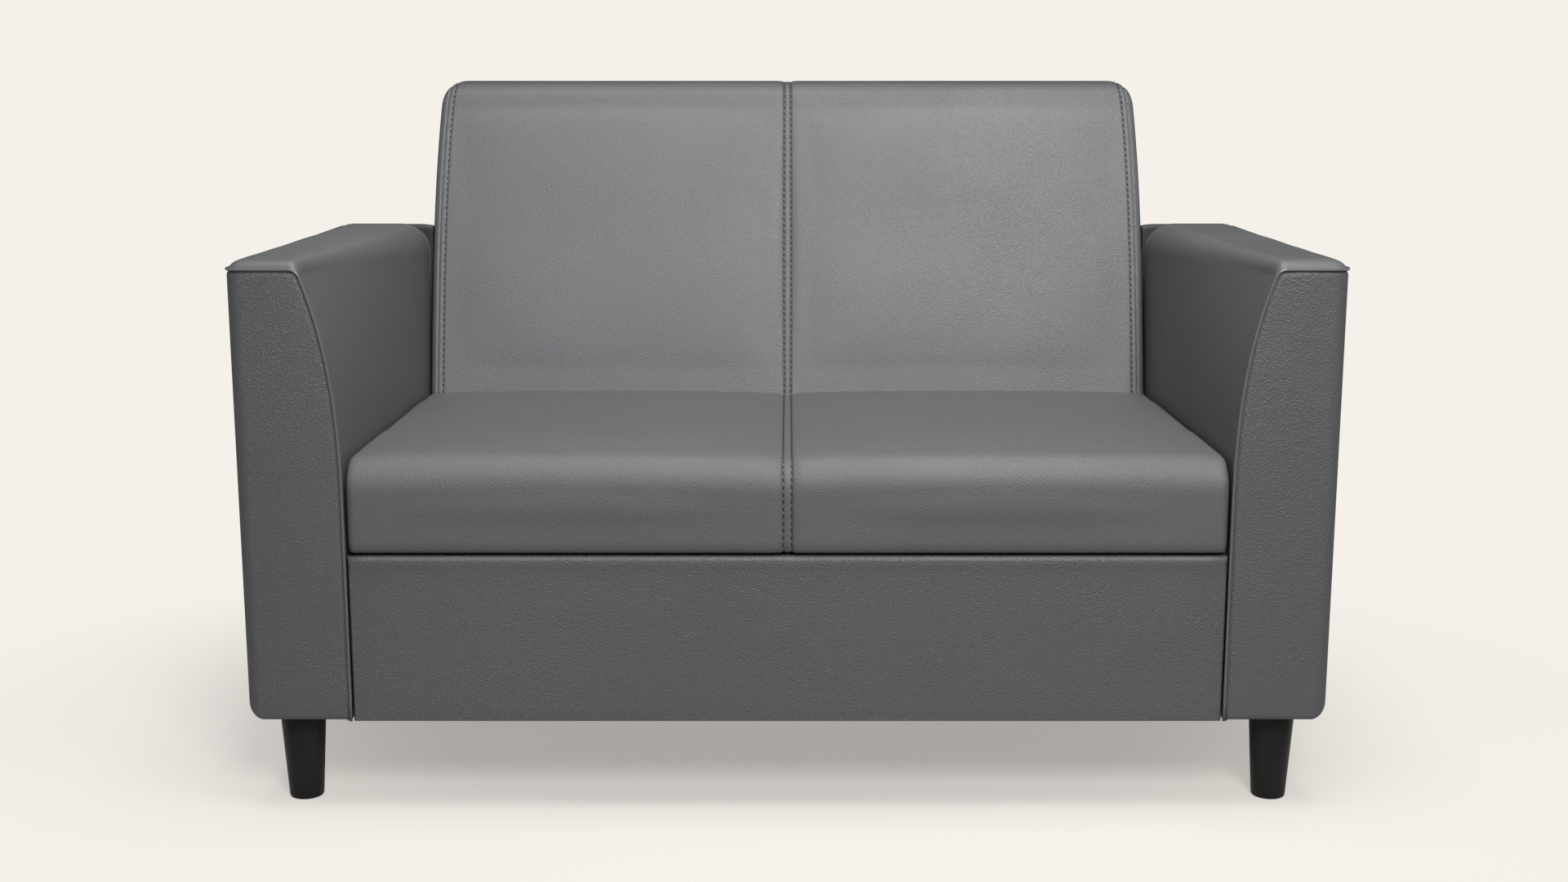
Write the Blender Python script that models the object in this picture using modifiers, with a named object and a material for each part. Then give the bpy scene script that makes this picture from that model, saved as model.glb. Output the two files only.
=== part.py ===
"""Two-seater sofa: a timber frame, sinuous springs and foam under a leather-look cover with piped arms.

Units are metres, +Z is up and +Y is to the rear. The origin is on the floor under the middle.
Left and right are as seen by someone who stands in front of the sofa, so right is +X.
Depths are measured back from the flat front of the arms.
"""
import math

import bmesh
import bpy
from mathutils import Matrix, Vector

# Overall sizes
WIDTH = 1.314
DEPTH = 0.770
HEIGHT = 0.875
LEG_HEIGHT = 0.115
GAP = 0.0003
LINING = 0.0006

# Cover and piping
COVER = 0.0022
PIPING_RADIUS = 0.0024
PIPING_SINK = 0.0010
PIPING_SEAT = PIPING_SINK + PIPING_RADIUS + GAP

# Arms
ARM_THICKNESS = 0.127
ARM_DEPTH = 0.635
ARM_EDGE_HEIGHT = 0.664
ARM_CROWN = 0.006
ARM_CROWN_REACH = 0.025
ARM_FLARE = 0.042
ARM_FLARE_START = 0.360
ARM_FLARE_POWER = 2.2
ARM_FRONT_RADIUS = 0.014
ARM_REAR_RADIUS = 0.037
ARM_BOTTOM_RADIUS = 0.018
ARM_PANEL_RADIUS = 0.015
ARM_FOOT_RADIUS = 0.004
ARM_LIP = 0.026
ARM_FOAM = 0.010
ARM_BOARD = 0.015
ARM_HARDBOARD = 0.003
ARM_TOP_RAIL_WIDTH = 0.050
ARM_TOP_RAIL_HEIGHT = 0.025
ARM_BOTTOM_RAIL_HEIGHT = 0.028

# Apron and base frame
BASE_SIDE_GAP = 0.0045
APRON_FRONT = 0.0015
APRON_TOP = 0.319
APRON_EDGE_RADIUS = 0.005
APRON_RETURN = 0.024
APRON_FOAM = 0.004
FRONT_RAIL = 0.020
SPRING_RAIL_WIDTH = 0.026
SPRING_RAIL_HEIGHT = 0.040
SIDE_RAIL = 0.031
REAR_RAIL = 0.022
REAR_RAIL_INSET = 0.045
CENTRE_RAIL_WIDTH = 0.024
CENTRE_RAIL_HEIGHT = 0.080
DUST_COVER = 0.0010
DECK_PAD = 0.006

# Seat springs
SPRING_COUNT = 7
SPRING_WIRE_RADIUS = 0.0018
SPRING_WAVE = 0.050
SPRING_PITCH = 0.031
SPRING_RISE = 0.003
CLIP_WIDTH = 0.030
CLIP_DEPTH = 0.012
CLIP_PLATE = 0.0012

# Seat cushion
SEAT_SIDE_GAP = 0.003
SEAT_APRON_GAP = 0.003
SEAT_FRONT = 0.0010
SEAT_FRONT_HEIGHT = 0.437
SEAT_REAR_DROP = 0.013
SEAT_ROLL_SHARE = 0.35
SEAT_BOTTOM_RADIUS = 0.008
SEAT_REAR_RADIUS = 0.012
SEAT_END_RADIUS = 0.015
SEAT_CROWN = 0.006
SEAM_DIP = 0.0045
SEAM_HALF_WIDTH = 0.014
SEAM_POWER = 1.5

# Back
BACK_FOOT_INSET = 0.060
BACK_FOOT_RISE = 0.004
BACK_BOTTOM_RISE = 0.003
REAR_FOOT_INSET = 0.0004
BACK_SIDE_GAP = 0.0024
BACK_TAPER = 0.0145
BACK_TAPER_POWER = 2.8
BACK_TOP_RADIUS = 0.040
BACK_TOP_FLAT = 0.0109
BACK_CORNER_RADIUS = 0.037
BACK_EDGE_RADIUS = 0.014
BACK_CROWN = 0.005
SEAT_BACK_GAP = 0.0012
POST_WIDTH = 0.025
POST_FOOT = 0.042
POST_HEAD = 0.030
POST_TOP_DROP = 0.085
PANEL_GAP = 0.0018
BACK_RAIL_HEIGHT = 0.050
LOWER_RAIL_RISE = 0.010
WEB_COUNT = 3
WEB_HEIGHT = 0.050
WEB_THICKNESS = 0.0015

# Legs
LEG_TOP_RADIUS = 0.028
LEG_BOTTOM_RADIUS = 0.021
LEG_ROUND = 0.0025
LEG_INSET = 0.055
LEG_END_INSET = 0.056
LEG_PLATE_SIZE = 0.048
LEG_PLATE = 0.0019
STUD_RADIUS = 0.004
STUD_LENGTH = 0.020
STUD_CLEARANCE = 0.0005

# Places that follow from the sizes
PIPING_PROUD = PIPING_RADIUS - PIPING_SINK
FRONT = PIPING_PROUD - DEPTH / 2
HALF = WIDTH / 2
INNER = HALF - ARM_THICKNESS
BASE_FLOOR = LEG_HEIGHT + COVER + GAP
PAD_INSET = COVER + LINING
BOARD_INSET = PAD_INSET + ARM_FOAM + GAP
REAR_BOARD_DEPTH = ARM_DEPTH - COVER - GAP - ARM_BOARD
RAIL_BACK = APRON_FRONT + COVER + GAP + APRON_FOAM + GAP + FRONT_RAIL
REAR_RAIL_DEPTH = ARM_DEPTH - REAR_RAIL_INSET
SEAT_BOTTOM = APRON_TOP + SEAT_APRON_GAP
SEAT_REAR_HEIGHT = SEAT_FRONT_HEIGHT - SEAT_REAR_DROP
SEAT_ROLL_RADIUS = SEAT_ROLL_SHARE * (SEAT_FRONT_HEIGHT - SEAT_BOTTOM)
DECK_TOP = SEAT_BOTTOM - GAP
SPRING_TOP = DECK_TOP - DECK_PAD - GAP
SPRING_END_HEIGHT = SPRING_TOP - SPRING_WIRE_RADIUS - SPRING_RISE
SPRING_RAIL_TOP = SPRING_END_HEIGHT - SPRING_WIRE_RADIUS - CLIP_PLATE - GAP
SIDE_RAIL_OUTER = INNER - GAP
SIDE_RAIL_INNER = SIDE_RAIL_OUTER - SIDE_RAIL
POST_OUTER = SIDE_RAIL_INNER - GAP
POST_INNER = POST_OUTER - POST_WIDTH
REAR_LEG_DEPTH = ARM_DEPTH - LEG_END_INSET
BACK_BOTTOM = SEAT_BOTTOM + BACK_BOTTOM_RISE
BACK_FOOT_DEPTH = ARM_DEPTH - BACK_FOOT_INSET
BACK_FOOT_HEIGHT = SEAT_REAR_HEIGHT + BACK_FOOT_RISE
REAR_FOOT_DEPTH = ARM_DEPTH - REAR_FOOT_INSET
CREST_LEVEL = HEIGHT - BACK_TOP_RADIUS
CREST_REAR = DEPTH - PIPING_PROUD - BACK_TOP_RADIUS
CREST_FRONT = CREST_REAR - BACK_TOP_FLAT
CREST_FOOT = CREST_LEVEL - BACK_TOP_RADIUS
LOWER_RAIL_BOTTOM = BACK_BOTTOM + LOWER_RAIL_RISE
POST_TOP = HEIGHT - POST_TOP_DROP

# The leans of the back's front and rear, from their feet to where they touch the round at its top
FRONT_REACH = Vector((CREST_FRONT - BACK_FOOT_DEPTH, CREST_LEVEL - BACK_FOOT_HEIGHT))
BACK_LEAN = math.acos(BACK_TOP_RADIUS / FRONT_REACH.length) - math.atan2(FRONT_REACH.y, FRONT_REACH.x)
REAR_REACH = Vector((CREST_REAR - REAR_FOOT_DEPTH, CREST_LEVEL - LEG_HEIGHT))
REAR_LEAN = math.asin(BACK_TOP_RADIUS / REAR_REACH.length) + math.atan2(REAR_REACH.x, REAR_REACH.y)

# Shares of a stretch where a surface has its lines of points
FLANK_SHARES = (0.0, 0.22, 0.42, 0.60, 0.76, 0.90, 1.0)
ARM_RUN_SHARES = (0.0, 0.25, 0.5, 0.75, 1.0)
ARM_END_SHARE = 0.4
CROWN_EDGE_SHARES = (0.15, 0.45)
HALF_WIDTH_SHARES = (0.12, 0.35, 0.6, 0.85)
SEAT_TOP_SHARES = (0.3, 0.7)
SEAM_SIDE_SHARE = 0.3
CORNER_SHARES = (0.65, 1.0)
PANEL_SHARES = (-1.0, -0.94, 0.0, 0.94, 1.0)
ARC_STEPS = 4
END_STEPS = 3
SIDES = 24

# How far a face has to point to the rear or down to count as the rear or the floor of a pad
REAR_FACING = 0.9
FLOOR_FACING = 0.99


def clear_scene():
    for old in list(bpy.data.objects):
        bpy.data.objects.remove(old)


def new_collection(name):
    collection = bpy.data.collections.new(name)
    bpy.context.scene.collection.children.link(collection)
    return collection


def new_material(name, colour, roughness, metallic=0.0):
    material = bpy.data.materials.new(name)
    material.use_nodes = True
    shader = material.node_tree.nodes["Principled BSDF"]
    shader.inputs["Base Color"].default_value = (*colour, 1.0)
    shader.inputs["Roughness"].default_value = roughness
    shader.inputs["Metallic"].default_value = metallic
    return material


clear_scene()
PARTS = new_collection("two_seater_sofa")
CUTTERS = new_collection("cutters")
LEATHER = new_material("leather_grey", (0.105, 0.108, 0.112), 0.5)
TIMBER = new_material("frame_timber", (0.55, 0.38, 0.21), 0.7)
HARDBOARD = new_material("hardboard", (0.28, 0.17, 0.09), 0.8)
FOAM = new_material("foam", (0.86, 0.83, 0.70), 0.95)
FELT = new_material("felt", (0.42, 0.42, 0.44), 0.95)
STEEL = new_material("steel", (0.45, 0.46, 0.48), 0.35, 1.0)
WEBBING = new_material("webbing", (0.12, 0.11, 0.10), 0.85)
DUST_CLOTH = new_material("dust_cloth", (0.03, 0.03, 0.03), 0.95)
LEG_BLACK = new_material("leg_black", (0.012, 0.012, 0.013), 0.35)


# Small geometry helpers

def mix(start, end, share):
    return start + (end - start) * share


def at(x, depth, height):
    """A place from its distance to the middle, its depth behind the arms' front and its height."""
    return Vector((x, FRONT + depth, height))


def arc(centre, radius, first, last, steps=ARC_STEPS):
    """Points of an arc in a plane, from one angle in radians to another."""
    angles = [mix(first, last, step / steps) for step in range(steps + 1)]
    return [(centre[0] + radius * math.cos(a), centre[1] + radius * math.sin(a)) for a in angles]


def inset_line(points, inset, cyclic=False):
    """A line of points moved to its right-hand side by the inset, with even thickness at its corners."""
    moved = []
    count = len(points)
    for index, point in enumerate(points):
        before = points[index - 1] if index or cyclic else None
        after = points[(index + 1) % count] if index < count - 1 or cyclic else None
        sides = []
        for start, end in ((before, point), (point, after)):
            if start and end:
                run = Vector((end[0] - start[0], end[1] - start[1])).normalized()
                sides.append(Vector((run.y, -run.x)))
        normal = sum(sides, Vector((0.0, 0.0))).normalized()
        stretch = inset / normal.dot(sides[0])
        moved.append((point[0] + normal.x * stretch, point[1] + normal.y * stretch))
    return moved


# Objects

def add_mesh(name, bm, material):
    mesh = bpy.data.meshes.new(name)
    bm.to_mesh(mesh)
    bm.free()
    mesh.materials.append(material)
    piece = bpy.data.objects.new(name, mesh)
    PARTS.objects.link(piece)
    return piece


def block_mesh(low, high):
    bm = bmesh.new()
    bmesh.ops.create_cube(bm, size=1.0)
    low, high = Vector(low), Vector(high)
    size, middle = high - low, (high + low) / 2
    for vert in bm.verts:
        vert.co = Vector(a * b for a, b in zip(vert.co, size)) + middle
    return bm


def block(name, low, high, material):
    """A board or sheet between two corners."""
    return add_mesh(name, block_mesh(low, high), material)


def mirrored(piece, name):
    """The same piece on the other side of the sofa."""
    bpy.context.view_layer.update()
    mesh = bpy.data.meshes.new_from_object(piece.evaluated_get(bpy.context.evaluated_depsgraph_get()))
    mesh.name = name
    mesh.transform(Matrix.Scale(-1.0, 4, Vector((1.0, 0.0, 0.0))) @ piece.matrix_world)
    mesh.flip_normals()
    copy = bpy.data.objects.new(name, mesh)
    PARTS.objects.link(copy)
    return copy


def plate(name, outline, thickness, place, turn, material):
    """A flat piece cut to an outline. Its outline lies in the plane that the turn gives it."""
    curve = bpy.data.curves.new(name, "CURVE")
    curve.dimensions = "2D"
    curve.fill_mode = "BOTH"
    curve.extrude = thickness / 2
    spline = curve.splines.new("POLY")
    spline.points.add(len(outline) - 1)
    for point, (across, up) in zip(spline.points, outline):
        point.co = (across, up, 0.0, 1.0)
    spline.use_cyclic_u = True
    curve.materials.append(material)
    piece = bpy.data.objects.new(name, curve)
    piece.location = place
    piece.rotation_euler = turn
    PARTS.objects.link(piece)
    return piece


FACING_FRONT = (math.pi / 2, 0.0, 0.0)
FACING_SIDE = (math.pi / 2, 0.0, math.pi / 2)


def tube(name, points, radius, material, resolution):
    """A round wire or cord along a line of points, with closed ends."""
    curve = bpy.data.curves.new(name, "CURVE")
    curve.dimensions = "3D"
    curve.bevel_depth = radius
    curve.bevel_resolution = resolution
    curve.use_fill_caps = True
    spline = curve.splines.new("POLY")
    spline.points.add(len(points) - 1)
    for spot, point in zip(spline.points, points):
        spot.co = (*point, 1.0)
    curve.materials.append(material)
    piece = bpy.data.objects.new(name, curve)
    PARTS.objects.link(piece)
    return piece


def as_mesh(piece):
    """A curve made a mesh with its caps joined on, so that it can be cut and joined."""
    bpy.context.view_layer.update()
    mesh = bpy.data.meshes.new_from_object(piece.evaluated_get(bpy.context.evaluated_depsgraph_get()))
    bm = bmesh.new()
    bm.from_mesh(mesh)
    bmesh.ops.remove_doubles(bm, verts=bm.verts, dist=PIPING_SINK / 20)
    bmesh.ops.recalc_face_normals(bm, faces=bm.faces)
    bm.to_mesh(mesh)
    bm.free()
    solid = bpy.data.objects.new(piece.name + "_solid", mesh)
    solid.matrix_world = piece.matrix_world
    PARTS.objects.link(solid)
    bpy.data.objects.remove(piece)
    return solid


def cut(piece, tool, operation="DIFFERENCE"):
    """Cuts a piece with a tool, or keeps only what the tool holds. The tool is hidden."""
    for owner in list(tool.users_collection):
        owner.objects.unlink(tool)
    CUTTERS.objects.link(tool)
    tool.hide_render = True
    tool.display_type = "WIRE"
    modifier = piece.modifiers.new(tool.name, "BOOLEAN")
    modifier.operation = operation
    modifier.solver = "EXACT"
    modifier.object = tool


def cylinder_tool(name, radius, low, high):
    """A round cutter between two heights, at the place of its lower end."""
    bm = bmesh.new()
    length = high.z - low.z
    bmesh.ops.create_cone(bm, cap_ends=True, segments=SIDES, radius1=radius, radius2=radius, depth=length)
    bmesh.ops.translate(bm, verts=bm.verts, vec=(low + high) / 2)
    return add_mesh(name, bm, STEEL)


def loft(rings, closed=False, capped=False):
    """A surface through lines of points that all have the same count."""
    bm = bmesh.new()
    rows = [[bm.verts.new(point) for point in ring] for ring in rings]
    count = len(rows[0])
    for one, two in zip(rows, rows[1:]):
        for index in range(count if closed else count - 1):
            after = (index + 1) % count
            bm.faces.new((one[index], one[after], two[after], two[index]))
    if capped:
        bm.faces.new(rows[0])
        bm.faces.new(rows[-1])
    bmesh.ops.recalc_face_normals(bm, faces=bm.faces)
    return bm


def cushion_loft(rings):
    """A closed pad through rings of points, with ends whose faces run across from front to rear."""
    bm = bmesh.new()
    rows = [[bm.verts.new(point) for point in ring] for ring in rings]
    count = len(rows[0])
    for one, two in zip(rows, rows[1:]):
        for index in range(count):
            after = (index + 1) % count
            bm.faces.new((one[index], one[after], two[after], two[index]))
    for row in (rows[0], rows[-1]):
        for index in range(count // 2 - 1):
            across = count - 1 - index
            bm.faces.new((row[index], row[index + 1], row[across - 1], row[across]))
    bmesh.ops.recalc_face_normals(bm, faces=bm.faces)
    return bm


def face_away(bm, inside):
    """Turns an open surface so that it faces away from a place."""
    bm.normal_update()
    spread = sum(face.normal.dot(face.calc_center_median() - inside) * face.calc_area() for face in bm.faces)
    if spread < 0:
        bmesh.ops.reverse_faces(bm, faces=bm.faces)


def thicken(piece, thickness):
    """Gives an open surface its thickness on its inner side."""
    solidify = piece.modifiers.new("thickness", "SOLIDIFY")
    solidify.thickness = thickness
    solidify.offset = -1.0
    solidify.use_even_offset = True


def shell(name, bm, thickness, inside, material):
    """A thick sheet from an open surface that faces away from a place."""
    face_away(bm, inside)
    piece = add_mesh(name, bm, material)
    thicken(piece, thickness)
    return piece


# The arm's form

def puff(distance):
    """How far the top of an arm has risen, as a share of its crown, at a distance from a piped edge."""
    left = 1.0 - min(max(distance / ARM_CROWN_REACH, 0.0), 1.0)
    return 1.0 - left * left


def outer_reach(depth, inset):
    """How far out an arm's top reaches at a depth, round the corners of its plan."""
    near = min(depth, ARM_DEPTH - depth)
    if near >= ARM_PANEL_RADIUS:
        return HALF - inset
    rest = (ARM_PANEL_RADIUS - inset) ** 2 - (ARM_PANEL_RADIUS - near) ** 2
    return HALF - ARM_PANEL_RADIUS + math.sqrt(max(rest, 0.0))


def arm_corner(depth):
    """The round between an arm's inner face and its top: its radius, run, start, end and centre."""
    share = min(max(depth / ARM_DEPTH, 0.0), 1.0)
    flare = ARM_FLARE * (1.0 - share)
    radius = mix(ARM_FRONT_RADIUS, ARM_REAR_RADIUS, share)
    slope = flare * ARM_FLARE_POWER / (ARM_EDGE_HEIGHT - ARM_FLARE_START)
    rise = Vector((slope, 1.0)).normalized()
    turn = math.acos(rise.x)
    run = radius * math.tan(turn / 2)
    peak = Vector((INNER + flare, ARM_EDGE_HEIGHT))
    start = peak - rise * run
    centre = start + Vector((rise.y, -rise.x)) * radius
    return flare, radius, start, centre


def arm_flank(depth, bottom):
    """The inner face of an arm from its foot to the round at its top, as distances out and heights."""
    flare, radius, start, centre = arm_corner(depth)
    rise = ARM_EDGE_HEIGHT - ARM_FLARE_START
    points = [(INNER, bottom)]
    for share in FLANK_SHARES:
        height = mix(ARM_FLARE_START, start.y, share)
        points.append((INNER + flare * ((height - ARM_FLARE_START) / rise) ** ARM_FLARE_POWER, height))
    points[-1] = tuple(start)
    return points


def arm_line(depth, inset, bottom, reach, crowned=True):
    """An arm's inner face, top round and top at a depth, out to its reach."""
    flare, radius, start, centre = arm_corner(depth)
    flank = arm_flank(depth, bottom)
    first = math.atan2(start.y - centre.y, start.x - centre.x)
    bend = arc(centre, radius, first % (2 * math.pi), math.pi / 2)[1:]
    crown_start = reach - ARM_CROWN_REACH
    top = [(mix(bend[-1][0], crown_start, 0.5), ARM_EDGE_HEIGHT), (crown_start, ARM_EDGE_HEIGHT)]
    top += [(reach - ARM_CROWN_REACH * share, ARM_EDGE_HEIGHT) for share in reversed(CROWN_EDGE_SHARES)]
    top.append((reach, ARM_EDGE_HEIGHT))
    lift = puff(min(depth, ARM_DEPTH - depth)) * ARM_CROWN if crowned else 0.0
    raised = [(x, z + lift * (step + 1) / ARC_STEPS) for step, (x, z) in enumerate(bend)]
    raised += [(x, z + lift * puff(reach - x)) for x, z in top]
    return inset_line(flank + raised, inset)


def arm_depths(inset):
    """Depths of an arm's cross-sections, closest at its ends, where its top rises."""
    edge = (inset, mix(inset, ARM_PANEL_RADIUS, ARM_END_SHARE), ARM_PANEL_RADIUS, ARM_CROWN_REACH)
    run = [mix(ARM_CROWN_REACH, ARM_DEPTH - ARM_CROWN_REACH, share) for share in ARM_RUN_SHARES[1:-1]]
    return [*edge, *run, *(ARM_DEPTH - depth for depth in reversed(edge))]


ARM_MIDDLE = at(HALF - ARM_THICKNESS / 2, ARM_DEPTH / 2, mix(LEG_HEIGHT, ARM_EDGE_HEIGHT, 0.5))


def arm_skin(name, inset, bottom, thickness, material):
    """A layer over an arm's inner face and top."""
    rings = []
    for depth in arm_depths(PIPING_SEAT):
        line = arm_line(depth, inset, bottom, outer_reach(depth, PIPING_SEAT))
        rings.append([at(x, depth, z) for x, z in line])
    return shell(name, loft(rings), thickness, ARM_MIDDLE, material)


def arm_inner_cover():
    return arm_skin("arm_inner_cover_right", 0.0, LEG_HEIGHT, COVER, LEATHER)


def arm_foam():
    return arm_skin("arm_foam_right", PAD_INSET, BASE_FLOOR, ARM_FOAM, FOAM)


def arm_inner_board():
    """Hardboard behind the inner foam, bent to the same twist."""
    front, rear = COVER + GAP + ARM_BOARD + GAP, REAR_BOARD_DEPTH - GAP
    rings = []
    for share in ARM_RUN_SHARES:
        depth = mix(front, rear, share)
        flank = inset_line(arm_flank(depth, BASE_FLOOR), BOARD_INSET)
        rings.append([at(x, depth, z) for x, z in flank])
    return shell("arm_inner_board_right", loft(rings), ARM_HARDBOARD, ARM_MIDDLE, HARDBOARD)


def arm_trim_tool():
    """What the outer cover keeps: all that lies outward of the piped edge."""
    margin = ARM_PANEL_RADIUS
    rings = []
    for depth, share in ((-margin, 0.0), (0.0, 0.0), (ARM_DEPTH, 1.0), (ARM_DEPTH + margin, 1.0)):
        line = arm_line(share * ARM_DEPTH, PIPING_SEAT, LEG_HEIGHT - margin, HALF, crowned=False)
        line += [(HALF + margin, line[-1][1]), (HALF + margin, LEG_HEIGHT - margin)]
        rings.append([at(x, depth, z) for x, z in line])
    return add_mesh("arm_trim", loft(rings, closed=True, capped=True), LEATHER)


def edges_at(bm, test):
    return [edge for edge in bm.edges if all(test(vert.co) for vert in edge.verts)]


def arm_outer_cover():
    """The front, outer side and rear of an arm in one piece, turned under to a lip."""
    low, high = at(INNER, 0.0, LEG_HEIGHT), at(HALF, ARM_DEPTH, ARM_EDGE_HEIGHT)
    bm = block_mesh(low, high)
    ends = [face for face in bm.faces if face.normal.z > 0.5 or face.normal.x < -0.5]
    bmesh.ops.delete(bm, geom=ends, context="FACES_ONLY")
    face_away(bm, ARM_MIDDLE)
    weights = bm.edges.layers.float.new("bevel_weight_edge")
    for edge in bm.edges:
        run = edge.verts[0].co - edge.verts[1].co
        if not edge.is_boundary:
            radius = ARM_FOOT_RADIUS if run.x else ARM_BOTTOM_RADIUS if run.y else ARM_PANEL_RADIUS
            edge[weights] = radius / ARM_BOTTOM_RADIUS
    cover = add_mesh("arm_outer_cover_right", bm, LEATHER)
    bevel = cover.modifiers.new("rounded_edges", "BEVEL")
    bevel.limit_method = "WEIGHT"
    bevel.width = ARM_BOTTOM_RADIUS
    bevel.segments = ARC_STEPS
    thicken(cover, COVER)
    opening = block_mesh(at(INNER + ARM_LIP, ARM_LIP, LEG_HEIGHT - COVER),
                         at(HALF - ARM_LIP, ARM_DEPTH - ARM_LIP, LEG_HEIGHT + 2 * COVER))
    cut(cover, add_mesh("arm_floor_opening", opening, LEATHER))
    cut(cover, arm_trim_tool(), "INTERSECT")
    return cover


def arm_piping():
    """Cord from the front foot round the whole seam of an arm to its rear foot."""
    sink = PIPING_SINK
    front = arm_line(0.0, sink, LEG_HEIGHT, HALF - ARM_PANEL_RADIUS, crowned=False)
    rear = arm_line(ARM_DEPTH, sink, LEG_HEIGHT, HALF - ARM_PANEL_RADIUS, crowned=False)
    height = front[-1][1]
    skipped = 2 + len(CROWN_EDGE_SHARES)
    path = [at(x, sink, z) for x, z in front[:-skipped]]
    radius, centre = ARM_PANEL_RADIUS - sink, HALF - ARM_PANEL_RADIUS
    corner = arc((centre, ARM_PANEL_RADIUS), radius, -math.pi / 2, 0.0)
    path += [at(x, depth, height) for x, depth in corner]
    path += [at(x, ARM_DEPTH - depth, height) for x, depth in reversed(corner)]
    path += [at(x, ARM_DEPTH - sink, z) for x, z in reversed(rear[:-skipped])]
    return tube("arm_piping_right", path, PIPING_RADIUS, LEATHER, 1)


def arm_end_board(name, depth):
    """Plywood at an arm's front or rear, cut to the arm's outline inside its padding."""
    outer, foot = HALF - ARM_PANEL_RADIUS, LEG_HEIGHT + ARM_FOOT_RADIUS
    outline = arm_line(depth, BOARD_INSET, foot, outer, crowned=False)
    chamfer = ARM_BOTTOM_RADIUS - ARM_FOOT_RADIUS
    outline += [(outer, foot + chamfer), (outer - chamfer, foot)]
    return plate(name, outline, ARM_BOARD, at(0.0, depth + ARM_BOARD / 2, 0.0), FACING_FRONT, TIMBER)


def arm_rails():
    """The boards that run from front to rear inside an arm."""
    front, rear = COVER + GAP + ARM_BOARD + GAP, REAR_BOARD_DEPTH - GAP
    outer_board = HALF - COVER - GAP - ARM_HARDBOARD
    foam_floor = ARM_EDGE_HEIGHT - BOARD_INSET
    top = block("arm_top_rail_right",
                at(outer_board - GAP - ARM_TOP_RAIL_WIDTH, front, foam_floor - ARM_TOP_RAIL_HEIGHT),
                at(outer_board - GAP, rear, foam_floor), TIMBER)
    bottom = block("arm_bottom_rail_right",
                   at(INNER + BOARD_INSET + ARM_HARDBOARD + GAP, front, BASE_FLOOR),
                   at(HALF - ARM_BOTTOM_RADIUS, rear, BASE_FLOOR + ARM_BOTTOM_RAIL_HEIGHT), TIMBER)
    side = block("arm_outer_board_right",
                 at(outer_board, ARM_PANEL_RADIUS + GAP, LEG_HEIGHT + ARM_BOTTOM_RADIUS),
                 at(HALF - COVER - GAP, ARM_DEPTH - ARM_PANEL_RADIUS - GAP, foam_floor), HARDBOARD)
    for number, depth in enumerate((LEG_END_INSET, REAR_LEG_DEPTH)):
        place = at(HALF - LEG_INSET, depth, 0.0)
        reach = LEG_HEIGHT + STUD_LENGTH + GAP
        bore = cylinder_tool(f"stud_bore_{number}", STUD_RADIUS + STUD_CLEARANCE,
                             place + Vector((0.0, 0.0, LEG_HEIGHT)), place + Vector((0.0, 0.0, reach)))
        cut(bottom, bore)
    return [top, bottom, side]


def arms():
    pieces = [
        arm_end_board("arm_front_board_right", COVER + GAP),
        arm_end_board("arm_rear_board_right", REAR_BOARD_DEPTH),
        *arm_rails(),
        arm_inner_board(),
        arm_foam(),
        arm_inner_cover(),
        arm_outer_cover(),
        arm_piping(),
    ]
    for piece in pieces:
        mirrored(piece, piece.name.replace("_right", "_left"))


# Base frame, apron and springs

def base_frame():
    rail_half = INNER - BASE_SIDE_GAP - COVER - GAP
    front = RAIL_BACK - FRONT_RAIL
    block("base_front_rail", at(-rail_half, front, BASE_FLOOR),
          at(rail_half, RAIL_BACK, APRON_TOP - COVER - GAP), TIMBER)
    spring_half = SIDE_RAIL_INNER - GAP
    block("base_spring_rail", at(-spring_half, RAIL_BACK + GAP, SPRING_RAIL_TOP - SPRING_RAIL_HEIGHT),
          at(spring_half, RAIL_BACK + GAP + SPRING_RAIL_WIDTH, SPRING_RAIL_TOP), TIMBER)
    block("base_rear_rail", at(-POST_INNER + GAP, REAR_RAIL_DEPTH, BASE_FLOOR),
          at(POST_INNER - GAP, REAR_RAIL_DEPTH + REAR_RAIL, SPRING_RAIL_TOP), TIMBER)
    half = CENTRE_RAIL_WIDTH / 2
    block("base_centre_rail", at(-half, RAIL_BACK + GAP, BASE_FLOOR),
          at(half, REAR_RAIL_DEPTH - GAP, BASE_FLOOR + CENTRE_RAIL_HEIGHT), TIMBER)
    rear = ARM_DEPTH - PIPING_SEAT - GAP
    side = block("base_side_rail_right", at(SIDE_RAIL_INNER, RAIL_BACK + GAP, BASE_FLOOR),
                 at(SIDE_RAIL_OUTER, rear, SPRING_TOP), TIMBER)
    mirrored(side, "base_side_rail_left")


def apron():
    """The leather that wraps the base's front, and the thin foam under it."""
    half = INNER - BASE_SIDE_GAP
    bm = block_mesh(at(-half, APRON_FRONT, LEG_HEIGHT), at(half, APRON_FRONT + APRON_RETURN, APRON_TOP))
    back = [face for face in bm.faces if face.normal.y > 0.5]
    bmesh.ops.delete(bm, geom=back, context="FACES_ONLY")
    rounded = edges_at(bm, lambda co: abs(co.y - FRONT - APRON_FRONT) < GAP / 3)
    bmesh.ops.bevel(bm, geom=rounded, offset=APRON_EDGE_RADIUS, segments=2, profile=0.5, affect="EDGES")
    middle = at(0.0, APRON_RETURN * 2, mix(LEG_HEIGHT, APRON_TOP, 0.5))
    shell("apron_cover", bm, COVER, middle, LEATHER)
    inset = COVER + APRON_EDGE_RADIUS
    block("apron_foam", at(-half + inset, APRON_FRONT + COVER + GAP, LEG_HEIGHT + inset),
          at(half - inset, APRON_FRONT + COVER + GAP + APRON_FOAM, APRON_TOP - inset), FOAM)


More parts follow.
